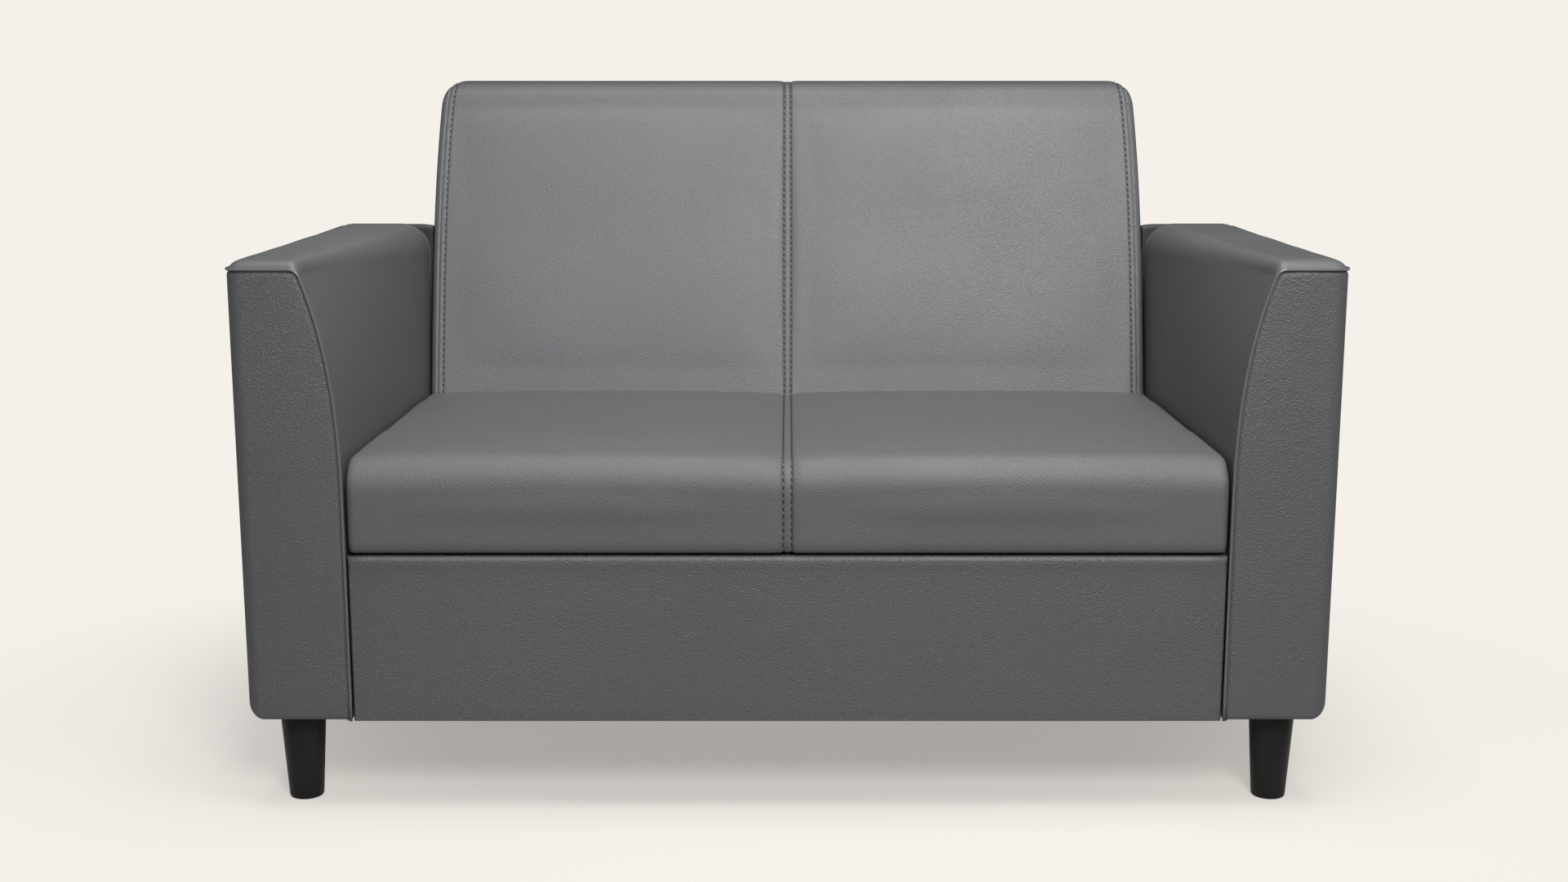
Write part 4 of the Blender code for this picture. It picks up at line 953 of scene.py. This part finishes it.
def back_block():
    """The back before it swells and is narrowed, with its round crest and corners."""
    def corner(side, rear, upper):
        height = BACK_HIGH.z if upper > 0 else BACK_LOW.z
        return Vector((side * BACK_WIDE, rear_y(height) if rear > 0 else front_y(height), height))

    bm = box_mesh(corner)
    weights = bm.edges.layers.float.new("bevel_weight_edge")
    crest_front = CREST_ROUND * math.tan((math.pi / 2.0 - BACK_LEAN) / 2.0)
    crest_rear = CREST_ROUND * math.tan((math.pi / 2.0 + REAR_LEAN) / 2.0)
    for edge in bm.edges:
        one, two = (vert.co for vert in edge.verts)
        run, centre = two - one, (one + two) / 2.0
        upper = min(one.z, two.z) > mix(BACK_LOW.z, BACK_HIGH.z, 0.5)
        rear = centre.y > mix(front_y(centre.z), rear_y(centre.z), 0.5)
        if abs(run.z) > BACK_WIDE / 4.0:
            width = SIDE_ROUND
        elif not upper:
            width = 0.0
        elif abs(run.x) > BACK_WIDE:
            width = crest_rear if rear else crest_front
        else:
            width = CORNER_ROUND
        edge[weights] = width / crest_rear
    holder = new_object("back_block", bm)
    bevel = holder.modifiers.new("rounds", "BEVEL")
    bevel.limit_method = "WEIGHT"
    bevel.width = crest_rear
    bevel.segments = 12
    return taken_back(holder)


def tapered(bm):
    """Narrows the back towards its top."""
    for vert in bm.verts:
        vert.co.x *= back_half(vert.co.z) / BACK_WIDE


def lobes(x, half):
    """The crown of a cushion with a seam in its middle: nothing at its ends and least at the seam."""
    share = min(abs(x) / half, 1.0)
    return math.sqrt(1.0 - (2.0 * share - 1.0) ** 2)


def seam_dip(x):
    """How deep the middle seam pulls a cushion in at a distance from it."""
    return SEAM_DIP * (1.0 - min(abs(x) / SEAM_HALF_WIDTH, 1.0)) ** SEAM_POWER


def crowned_seat(place):
    """Where a point of the seat's block lies once the cushion is crowned and its middle seam is sewn."""
    middle, reach = (SEAT_LOW.y + SEAT_HIGH.y) / 2.0, (SEAT_HIGH.y - SEAT_LOW.y) / 2.0
    tall = SEAT_TOP_FRONT - SEAT_LOW.z
    drop = seam_dip(place.x)
    grow = 1.0 + (SEAT_CROWN * lobes(place.x, SEAT_HIGH.x) - drop) / tall
    depth = middle + (place.y - middle) * (1.0 - drop / reach)
    return Vector((place.x, depth, SEAT_LOW.z + (place.z - SEAT_LOW.z) * grow))


def crowned_back(place):
    """Where a point of the back's block lies once its front is crowned and its middle seam is sewn."""
    near, far = front_y(place.z), rear_y(place.z)
    share = (place.y - near) / (far - near)
    along = max(place.z - BACK_FOOT.y, 0.0) / (BACK_HIGH.z - BACK_FOOT.y)
    swell = BACK_CROWN * lobes(place.x, BACK_WIDE) - seam_dip(place.x)
    ahead = swell * math.sin(math.pi * min(along, 1.0)) * clamp(1.0 - 2.0 * share)
    drop = seam_dip(place.x) / 2.0 * clamp((place.z - CREST_FOOT) / (BACK_HIGH.z - CREST_FOOT))
    return Vector((place.x, place.y - ahead, place.z - drop))


def swollen(name, bm, voxel, crowned, pinned, reach):
    """A cushion blown up by cloth simulation between the places where it is held.

    It starts a little smaller than its crowned form, swells no further past it than its reach, and is
    nowhere less full than it."""
    cushion = new_object(name, bm)
    remesh = cushion.modifiers.new("voxels", "REMESH")
    remesh.mode = "VOXEL"
    remesh.voxel_size = voxel
    applied(cushion)
    for vert in cushion.data.vertices:
        vert.co = crowned(vert.co)
    cushion.data.update()
    full = [vert.co.copy() for vert in cushion.data.vertices]
    outward = [vert.normal.copy() for vert in cushion.data.vertices]
    held = [pinned(place) for place in full]
    for vert, out, weight in zip(cushion.data.vertices, outward, held):
        vert.co -= out * reach / 2.0 * (1.0 - weight)
    group = cushion.vertex_groups.new(name="held")
    for index, weight in enumerate(held):
        if weight > 0.0:
            group.add([index], weight, "REPLACE")
    cloth = cushion.modifiers.new("cloth", "CLOTH").settings
    cloth.use_pressure = True
    cloth.uniform_pressure_force = PRESSURE
    cloth.vertex_group_mass = "held"
    cloth.effector_weights.gravity = 0.0
    cloth.tension_stiffness = STIFFNESS
    cloth.compression_stiffness = STIFFNESS
    cloth.bending_stiffness = BENDING
    scene = bpy.context.scene
    for step in range(1, SIMULATED_FRAMES + 1):
        scene.frame_set(step)
    applied(cushion)
    scene.frame_set(1)
    made = bmesh.new()
    made.from_mesh(cushion.data)
    bpy.data.objects.remove(cushion)
    for vert, place in zip(made.verts, full):
        move = vert.co - place
        length = move.length
        if length > 0.0:
            vert.co = place + move * (reach * math.tanh(length / reach) / length)
    for turn in range(SMOOTH_PASSES):
        bmesh.ops.smooth_vert(made, verts=made.verts, factor=0.5, use_axis_x=True, use_axis_y=True,
                              use_axis_z=True)
        for vert, place, out in zip(made.verts, full, outward):
            short = (place - vert.co).dot(out)
            if short > 0.0:
                vert.co += out * short
    return made


def finer(bm, name):
    """One level of subdivision, applied."""
    holder = new_object(name, bm)
    soften(holder, 1)
    return taken_back(holder)


def groove(distance, width):
    share = clamp(abs(distance) / width)
    return (1.0 - share * share) ** 2


def sewn(bm, lines):
    """Presses the lines sewn over a cushion into it. Each has its place across, depth and half width.

    Gives the points on each line and the ways they face, in order round the cushion from its foot."""
    for x, depth, width in lines:
        for share in GROOVE_SHARES:
            slice_at(bm, X_AXIS, x + width * share)
    bm.normal_update()
    on_lines = [[vert for vert in bm.verts if abs(vert.co.x - x) < SAME] for x, depth, width in lines]
    moves = []
    for vert in bm.verts:
        down = sum(depth * groove(vert.co.x - x, width) for x, depth, width in lines)
        if down > 0.0:
            moves.append((vert, vert.normal * -down))
    for vert, move in moves:
        vert.co += move
    bm.normal_update()
    return [chain_of(verts) for verts in on_lines]


def chain_of(verts):
    """The places and directions of points on a sewn line, in order round the cushion from its foot."""
    if not verts:
        raise RuntimeError("no points lie on a sewn line")
    middle = sum((vert.co for vert in verts), Vector()) / len(verts)

    def turn(vert):
        return math.atan2(middle.y - vert.co.y, middle.z - vert.co.z) % (2.0 * math.pi)

    return [(vert.co.copy(), vert.normal.copy()) for vert in sorted(verts, key=turn)]


def stitches(bm, chain, shown, sizes):
    """Adds stitches along a chain of points, where a test says that they show."""
    pitch, length, thread = sizes.stitch_pitch, sizes.stitch_length, sizes.thread
    travelled, due = 0.0, pitch / 2.0
    for (one, out_one), (two, out_two) in zip(chain, chain[1:]):
        run = (two - one).length
        while run > 0.0 and travelled + run >= due:
            share = (due - travelled) / run
            place = one.lerp(two, share)
            out = out_one.lerp(out_two, share).normalized()
            due += pitch
            if not shown(place):
                continue
            along = (two - one).normalized()
            along = (along + out.cross(along).normalized() * STITCH_LEAN).normalized()
            side = out.cross(along).normalized()
            axes = (along * length / 2.0, side * thread / 2.0, out * thread / STITCH_FLATNESS)
            turn = Matrix(axes).transposed().to_4x4()
            turn.translation = place + out * thread * STITCH_PROUD
            bmesh.ops.create_uvsphere(bm, u_segments=8, v_segments=6, radius=1.0,
                                      matrix=turn @ Matrix.Rotation(math.pi / 2.0, 4, "Y"))
        travelled += run


def line_pair(distance, kind):
    """A sewn line on each side of the middle."""
    return [(side * distance, *kind) for side in (-1, 1)]


def seam_hold(place):
    """How firmly the middle seam holds a place of a cushion."""
    return 1.0 - ease((abs(place.x) - 0.006) / 0.020)


def thread_material(colours):
    if "thread" not in bpy.data.materials:
        plain_material("thread", tuple(colours.thread), 0.55, 0.7, 300.0, drift=0.5)
    return bpy.data.materials["thread"]


def cushion_pieces(stem, bm, stitched, seams, shown, sizes, colours):
    """A padded cushion with its lines pressed in, and the stitches on those that are topstitched."""
    bm = finer(bm, f"{stem}_cushion")
    chains = sewn(bm, stitched + seams)
    thread = bmesh.new()
    for chain in chains[:len(stitched)]:
        stitches(thread, chain, shown, sizes)
    if stem == "back":
        tapered(bm)
        tapered(thread)
    cushion = keep_piece(f"{stem}_cushion", bm, leather(stem), (f"{stem}_cover",))
    keep_piece(f"{stem}_stitches", thread, thread_material(colours))


# Operators

class SofaOperator(bpy.types.Operator):
    """Base of the operators that build the sofa"""
    bl_options = {"REGISTER", "UNDO"}

    def execute(self, context):
        self.build(context.scene.sofa_sizes, context.scene.sofa_colours)
        return {"FINISHED"}


class SOFA_OT_arms(SofaOperator):
    """Builds the leather and the piped cord of both arms"""
    bl_idname = "sofa.arms"
    bl_label = "Arms"

    def build(self, sizes, colours):
        for stem, bm, kind, node in (
                ("arm_inner_leather", arm_inner_leather(), "arm", "arm_inner_cover"),
                ("arm_outer_leather", arm_outer_leather(), "front", "arm_outer_cover"),
                # The gap strip takes the dark copy of the leather, painted shade.
                ("arm_gap_leather", arm_gap_leather(), "gap", None)):
            for piece in both_sides(stem, bm, leather(kind), node):
                thicken(piece, GAP_FILL if kind == "gap" else sizes.leather)
        both_sides("arm_cord", arm_cord(), leather("cord"), "arm_piping")


class SOFA_OT_seat(SofaOperator):
    """Builds the seat cushion, its middle seam and its stitches"""
    bl_idname = "sofa.seat"
    bl_label = "Seat"

    def build(self, sizes, colours):
        def pinned(place):
            under = 1.0 - ease((place.z - SEAT_LOW.z - 0.010) / 0.030)
            end = ease((abs(place.x) - SEAT_HIGH.x + 0.012) / 0.010)
            behind = ease((place.y - front_y(place.z) + 0.030) / 0.020)
            return max(under, seam_hold(place), end, behind)

        def shown(place):
            return place.z > SEAT_LOW.z + 0.006 and place.y <= SEAT_HIGH.y - 0.02

        bm = swollen("seat_cushion", seat_block(), sizes.voxel, crowned_seat, pinned, sizes.seat_swell)
        cushion_pieces("seat", bm, line_pair(sizes.seam_width / 2.0, TOPSTITCH), [], shown, sizes, colours)


class SOFA_OT_back(SofaOperator):
    """Builds the back cushion with its seams and stitches, and the leather behind it"""
    bl_idname = "sofa.back"
    bl_label = "Back"

    def build(self, sizes, colours):
        def pinned(place):
            under = 1.0 - ease((place.z - SEAT_TOP_REAR + 0.01) / 0.05)
            behind = ease((place.y - rear_y(place.z) + 0.030) / 0.025)
            end = ease((abs(place.x) - BACK_WIDE + 0.018) / 0.012)
            return max(under, seam_hold(place), behind, end)

        def shown(place):
            return place.z > SEAT_TOP_REAR - 0.02 and place.y <= rear_y(place.z) - 0.012

        bm = swollen("back_cushion", back_block(), sizes.voxel, crowned_back, pinned, sizes.back_swell)
        stitched = line_pair(sizes.seam_width / 2.0, TOPSTITCH)
        stitched += line_pair(BACK_WIDE - sizes.edge_stitches, EDGE_STITCH)
        seams = line_pair(BACK_WIDE - sizes.edge_seam, SIDE_SEAM)
        cushion_pieces("back", bm, stitched, seams, shown, sizes, colours)
        self.rear_panel()

    def rear_panel(self):
        """The outside back, a sheet of leather with rounded edges just proud of the cushion's rear."""
        def corner(side, rear, upper):
            height = PANEL_HIGH.z if upper > 0 else PANEL_LOW.z
            half = PANEL_HIGH.x - BACK_TAPER if upper > 0 else PANEL_HIGH.x
            return Vector((side * half, rear_y(height) + (PANEL_PROUD if rear > 0 else -PANEL_SUNK), height))

        bm = box_mesh(corner)
        middle = mix(PANEL_LOW.z, PANEL_HIGH.z, 0.5)
        crest = [edge for edge in edges_where(bm, lambda co: co.z > middle)
                 if abs(edge.verts[0].co.x - edge.verts[1].co.x) < 10.0 * SAME]
        round_edges(bm, crest, CORNER_ROUND - SIDE_ROUND, 8)
        round_edges(bm, edges_where(bm, lambda co: co.y > rear_y(co.z)), PANEL_EDGE_ROUND, 3)
        keep_piece("back_panel", bm, leather("arm"), ("back_rear_panel",))


class SOFA_OT_base(SofaOperator):
    """Builds the leather of the apron and of the base's rear"""
    bl_idname = "sofa.base"
    bl_label = "Base"

    def build(self, sizes, colours):
        self.apron(sizes)
        self.rear(sizes)

    def apron(self, sizes):
        def corner(side, rear, upper):
            return Vector((side * (APRON_HIGH.x + APRON_REACH), APRON_HIGH.y if rear > 0 else APRON_LOW.y,
                           APRON_HIGH.z + APRON_REACH / 2.0 if upper > 0 else APRON_LOW.z - APRON_REACH))

        bm = box_mesh(corner)
        bmesh.ops.delete(bm, geom=[face for face in bm.faces if face.normal.y > 0.5], context="FACES_ONLY")
        round_edges(bm, edges_where(bm, lambda co: co.y < APRON_LOW.y + SAME), APRON_ROUND, 8)
        for share in spread(48)[1:-1]:
            slice_at(bm, X_AXIS, mix(-APRON_HIGH.x, APRON_HIGH.x, share))
        for share in (*spread(12)[1:-1], 0.93, 0.94, 0.95, 0.96, 0.97):
            slice_at(bm, Z_AXIS, mix(APRON_LOW.z, APRON_HIGH.z, share))
        for vert in bm.verts:
            if vert.co.y < APRON_LOW.y + SAME:
                up = (vert.co.z - APRON_LOW.z) / (APRON_HIGH.z - APRON_LOW.z)
                across = abs(vert.co.x) / APRON_HIGH.x
                swell = APRON_SWELL * (1.0 - (2.0 * up - 1.0) ** 4) * (1.0 - across ** 8)
                swell += APRON_BEAD * math.exp(-((up - APRON_BEAD_HEIGHT) / APRON_BEAD_WIDTH) ** 2)
                vert.co.y += APRON_SINK - swell + noise.noise(vert.co * APRON_RIPPLE_SCALE) * APRON_RIPPLE
        piece = keep_piece("apron_leather", bm, leather("front"), ("apron_cover",))
        thicken(piece, sizes.leather)

    def rear(self, sizes):
        def corner(side, rear, upper):
            height = BASE_HIGH.z if upper > 0 else BASE_LOW.z
            depth = rear_y(height) if rear > 0 else BASE_LOW.y
            return Vector((side * BASE_HIGH.x, depth, height))

        bm = box_mesh(corner)
        open_faces = [face for face in bm.faces if face.normal.y < -0.5 or abs(face.normal.z) > 0.9]
        bmesh.ops.delete(bm, geom=open_faces, context="FACES_ONLY")
        rim = [edge for edge in edges_where(bm, lambda co: co.y > rear_y(co.z) - 10.0 * SAME)
               if abs(edge.verts[0].co.z - edge.verts[1].co.z) > 100.0 * SAME]
        round_edges(bm, rim, BASE_ROUND, 5)
        piece = keep_piece("base_rear_leather", bm, leather("arm"), ("base_rear_cover",))
        thicken(piece, sizes.leather)


class SOFA_OT_legs(SofaOperator):
    """Turns the four black legs"""
    bl_idname = "sofa.legs"
    bl_label = "Legs"

    def build(self, sizes, colours):
        lacquer = plain_material("leg_lacquer", tuple(colours.legs), 0.34, 0.42, 60.0, drift=0.2,
                                 specular=0.3)
        for name in ("front_left", "front_right", "rear_left", "rear_right"):
            low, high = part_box(f"leg_{name}")
            self.leg(name, low, high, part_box(f"leg_plate_{name}")[0].z, lacquer)

    def leg(self, name, low, high, top, lacquer):
        """Spins a leg's foot, tapered side, upper round and bolt. Its profile is in distances and heights."""
        radius = (high.x - low.x) / 2.0
        foot = radius * LEG_TAPER
        centre = (low + high) / 2.0
        profile = [(0.0, 0.0), (foot - 0.003, 0.0), (foot - 0.0010, 0.0006), (foot - 0.0003, 0.0018),
                   (foot, 0.0034), (radius, top - 0.0022), (radius - 0.0004, top - 0.0008),
                   (radius - 0.0012, top - 0.0002), (BOLT + 0.0002, top - 0.0002),
                   (BOLT, top + 0.001), (BOLT, high.z - 0.0008), (BOLT - 0.0008, high.z), (0.0, high.z)]
        bm = bmesh.new()
        verts = [bm.verts.new((centre.x + out, centre.y, height)) for out, height in profile]
        edges = [bm.edges.new(pair) for pair in zip(verts, verts[1:])]
        bmesh.ops.spin(bm, geom=[*verts, *edges], cent=(centre.x, centre.y, 0.0), axis=(0.0, 0.0, 1.0),
                       angle=2.0 * math.pi, steps=56, use_merge=True)
        bmesh.ops.remove_doubles(bm, verts=bm.verts, dist=0.00002)
        bmesh.ops.recalc_face_normals(bm, faces=bm.faces)
        piece = keep_piece(f"turned_leg_{name}", bm, lacquer, (f"leg_{name}",))
        piece.data.set_sharp_from_angle(angle=math.radians(50.0))


class SOFA_OT_inside(SofaOperator):
    """Gives the timber, springs, foam and cloth inside the sofa their finishes"""
    bl_idname = "sofa.inside"
    bl_label = "Inside"

    def build(self, sizes, colours):
        along_x = timber_material("timber_along_x", *PINE, (0.25, 4.0, 4.0))
        along_y = timber_material("timber_along_y", *PINE, (4.0, 0.25, 4.0))
        upright = timber_material("timber_upright", *PINE, (4.0, 4.0, 0.25))
        board = timber_material("hardboard", *HARDBOARD, (3.0, 3.0, 3.0))
        foam = cloth_material("foam", (0.82, 0.78, 0.62), 700.0, 0.0004)
        felt = cloth_material("felt", (0.38, 0.38, 0.40), 500.0, 0.0003)
        webbing = cloth_material("webbing", (0.10, 0.09, 0.08), 450.0, 0.0003)
        dust = cloth_material("dust_cloth", (0.022, 0.022, 0.024), 900.0, 0.00015)
        steel = plain_material("steel", (0.50, 0.51, 0.53), 0.28, 0.42, 90.0, metallic=1.0)
        finishes = (("seat_spring", steel), ("leg_plate", steel), ("seat_foam", foam), ("back_foam", foam),
                    ("arm_foam", foam), ("apron_foam", foam), ("deck_pad", felt), ("back_web", webbing),
                    ("dust_cover", dust), ("arm_inner_board", board), ("arm_outer_board", board),
                    ("arm_front_board", upright), ("arm_rear_board", upright), ("back_post", upright),
                    ("arm_top_rail", along_y), ("arm_bottom_rail", along_y), ("base_side_rail", along_y),
                    ("base_centre_rail", along_y), ("base_", along_x), ("back_", along_x))
        for name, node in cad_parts.items():
            if node.hide_render:
                continue
            finish = next((material for stem, material in finishes if name.startswith(stem)), None)
            if finish is None:
                raise RuntimeError(f"no finish for {name}")
            node.data.materials.clear()
            node.data.materials.append(finish)


class SOFA_OT_studio(SofaOperator):
    """Sets up the pale floor, the soft lights and the camera"""
    bl_idname = "sofa.studio"
    bl_label = "Studio"

    def build(self, sizes, colours):
        scene = bpy.context.scene
        scene.view_settings.view_transform = "Standard"
        self.floor(colours)
        self.card()
        self.world(colours)
        self.lights()
        camera = bpy.data.objects.new("camera", bpy.data.cameras.new("camera"))
        scene.collection.objects.link(camera)
        camera.location = CAMERA_PLACE
        camera.rotation_euler = (CAMERA_TILT, 0.0, 0.0)
        camera.data.lens = CAMERA_LENS
        camera.data.sensor_width = 36.0
        camera.data.shift_x = CAMERA_SHIFT
        camera.data.clip_end = 60.0
        scene.camera = camera

    def floor(self, colours):
        bm = bmesh.new()
        bmesh.ops.create_grid(bm, x_segments=1, y_segments=1, size=14.0)
        floor = new_object("studio_floor", bm)
        material, tree, shader = new_material("studio_floor", tuple(colours.floor), 0.9, specular=0.0)
        place = add_node(tree, "ShaderNodeTexCoord").outputs["Object"]
        squashed = add_node(tree, "ShaderNodeVectorMath", {0: place, 1: FLOOR_SQUASH}, operation="MULTIPLY")
        far = add_node(tree, "ShaderNodeVectorMath", {0: squashed.outputs[0]}, operation="LENGTH")
        fade = ranged(tree, far.outputs["Value"], *FLOOR_FADE, 0.0, 1.0, interpolation_type="SMOOTHSTEP")
        rays = add_node(tree, "ShaderNodeLightPath")
        strength = ranged(tree, rays.outputs["Is Camera Ray"], 0.0, 1.0, GLOW_ON_SOFA, 1.0)
        glow = add_node(tree, "ShaderNodeEmission",
                        {"Color": (*colours.background, 1.0), "Strength": strength})
        share = ranged(tree, fade, 0.0, 1.0, FLOOR_GLOW, 1.0)
        blend = add_node(tree, "ShaderNodeMixShader", {0: share, 1: shader.outputs[0], 2: glow.outputs[0]})
        tree.links.new(blend.outputs[0], tree.nodes["Material Output"].inputs["Surface"])
        floor.data.materials.append(material)

    def card(self):
        """A dark card behind the sofa that only reflections see, so that the tops keep their own tone."""
        bm = bmesh.new()
        bmesh.ops.create_grid(bm, x_segments=1, y_segments=1, size=1.0)
        bmesh.ops.transform(bm, matrix=Matrix.Diagonal((2.6, 1.1, 1.0, 1.0)), verts=bm.verts)
        upright = Matrix.Rotation(math.pi / 2.0, 3, "X")
        bmesh.ops.rotate(bm, cent=(0.0, 0.0, 0.0), matrix=upright, verts=bm.verts)
        bmesh.ops.translate(bm, vec=(0.0, 1.7, 1.7), verts=bm.verts)
        card = new_object("studio_card", bm)
        card.data.materials.append(new_material("studio_card", (0.02, 0.02, 0.02), 1.0, specular=0.0)[0])
        for ray in ("camera", "diffuse", "shadow", "transmission"):
            setattr(card, f"visible_{ray}", False)

    def world(self, colours):
        world = bpy.data.worlds.new("studio")
        world.use_nodes = True
        bpy.context.scene.world = world
        tree = world.node_tree
        ambient = tree.nodes["Background"]
        ambient.inputs["Color"].default_value = (0.97, 0.98, 1.0, 1.0)
        ambient.inputs["Strength"].default_value = AMBIENT
        shown = add_node(tree, "ShaderNodeBackground", {"Color": (*colours.background, 1.0)})
        rays = add_node(tree, "ShaderNodeLightPath").outputs
        seen = maths(tree, "MAXIMUM", rays["Is Camera Ray"], rays["Is Transmission Ray"])
        seen = maths(tree, "MAXIMUM", seen, maths(tree, "MULTIPLY", rays["Is Glossy Ray"], MIRRORED_BACKDROP))
        blend = add_node(tree, "ShaderNodeMixShader", {0: seen, 1: ambient.outputs[0], 2: shown.outputs[0]})
        tree.links.new(blend.outputs[0], tree.nodes["World Output"].inputs["Surface"])

    def lights(self):
        for name, (place, target, size, power) in LAMPS.items():
            lamp = bpy.data.lights.new(name, "AREA")
            lamp.size = size
            lamp.energy = power
            lamp_object = bpy.data.objects.new(name, lamp)
            lamp_object.location = place
            lamp_object.rotation_euler = (Vector(target) - Vector(place)).to_track_quat("-Z", "Y").to_euler()
            bpy.context.scene.collection.objects.link(lamp_object)


class SOFA_PT_build(bpy.types.Panel):
    """Lists the steps that build the sofa"""
    bl_idname = "SOFA_PT_build"
    bl_label = "Two-seater sofa"
    bl_space_type = "VIEW_3D"
    bl_region_type = "UI"
    bl_category = "Sofa"

    def draw(self, context):
        for group in (context.scene.sofa_sizes, context.scene.sofa_colours):
            for name in group.bl_rna.properties.keys():
                if name not in ("rna_type", "name"):
                    self.layout.prop(group, name)
        for step in STEPS:
            self.layout.operator(step.bl_idname)


STEPS = (SOFA_OT_arms, SOFA_OT_seat, SOFA_OT_back, SOFA_OT_base, SOFA_OT_legs, SOFA_OT_inside,
         SOFA_OT_studio)
CLASSES = (SofaSizes, SofaColours, *STEPS, SOFA_PT_build)


def register():
    for kind in CLASSES:
        bpy.utils.register_class(kind)
    bpy.types.Scene.sofa_sizes = bpy.props.PointerProperty(type=SofaSizes)
    bpy.types.Scene.sofa_colours = bpy.props.PointerProperty(type=SofaColours)


def unregister():
    del bpy.types.Scene.sofa_colours
    del bpy.types.Scene.sofa_sizes
    for kind in reversed(CLASSES):
        bpy.utils.unregister_class(kind)


def main():
    register()
    bpy.ops.sofa.arms()
    bpy.ops.sofa.seat()
    bpy.ops.sofa.back()
    bpy.ops.sofa.base()
    bpy.ops.sofa.legs()
    bpy.ops.sofa.inside()
    bpy.ops.sofa.studio()


if __name__ == "__main__":
    main()
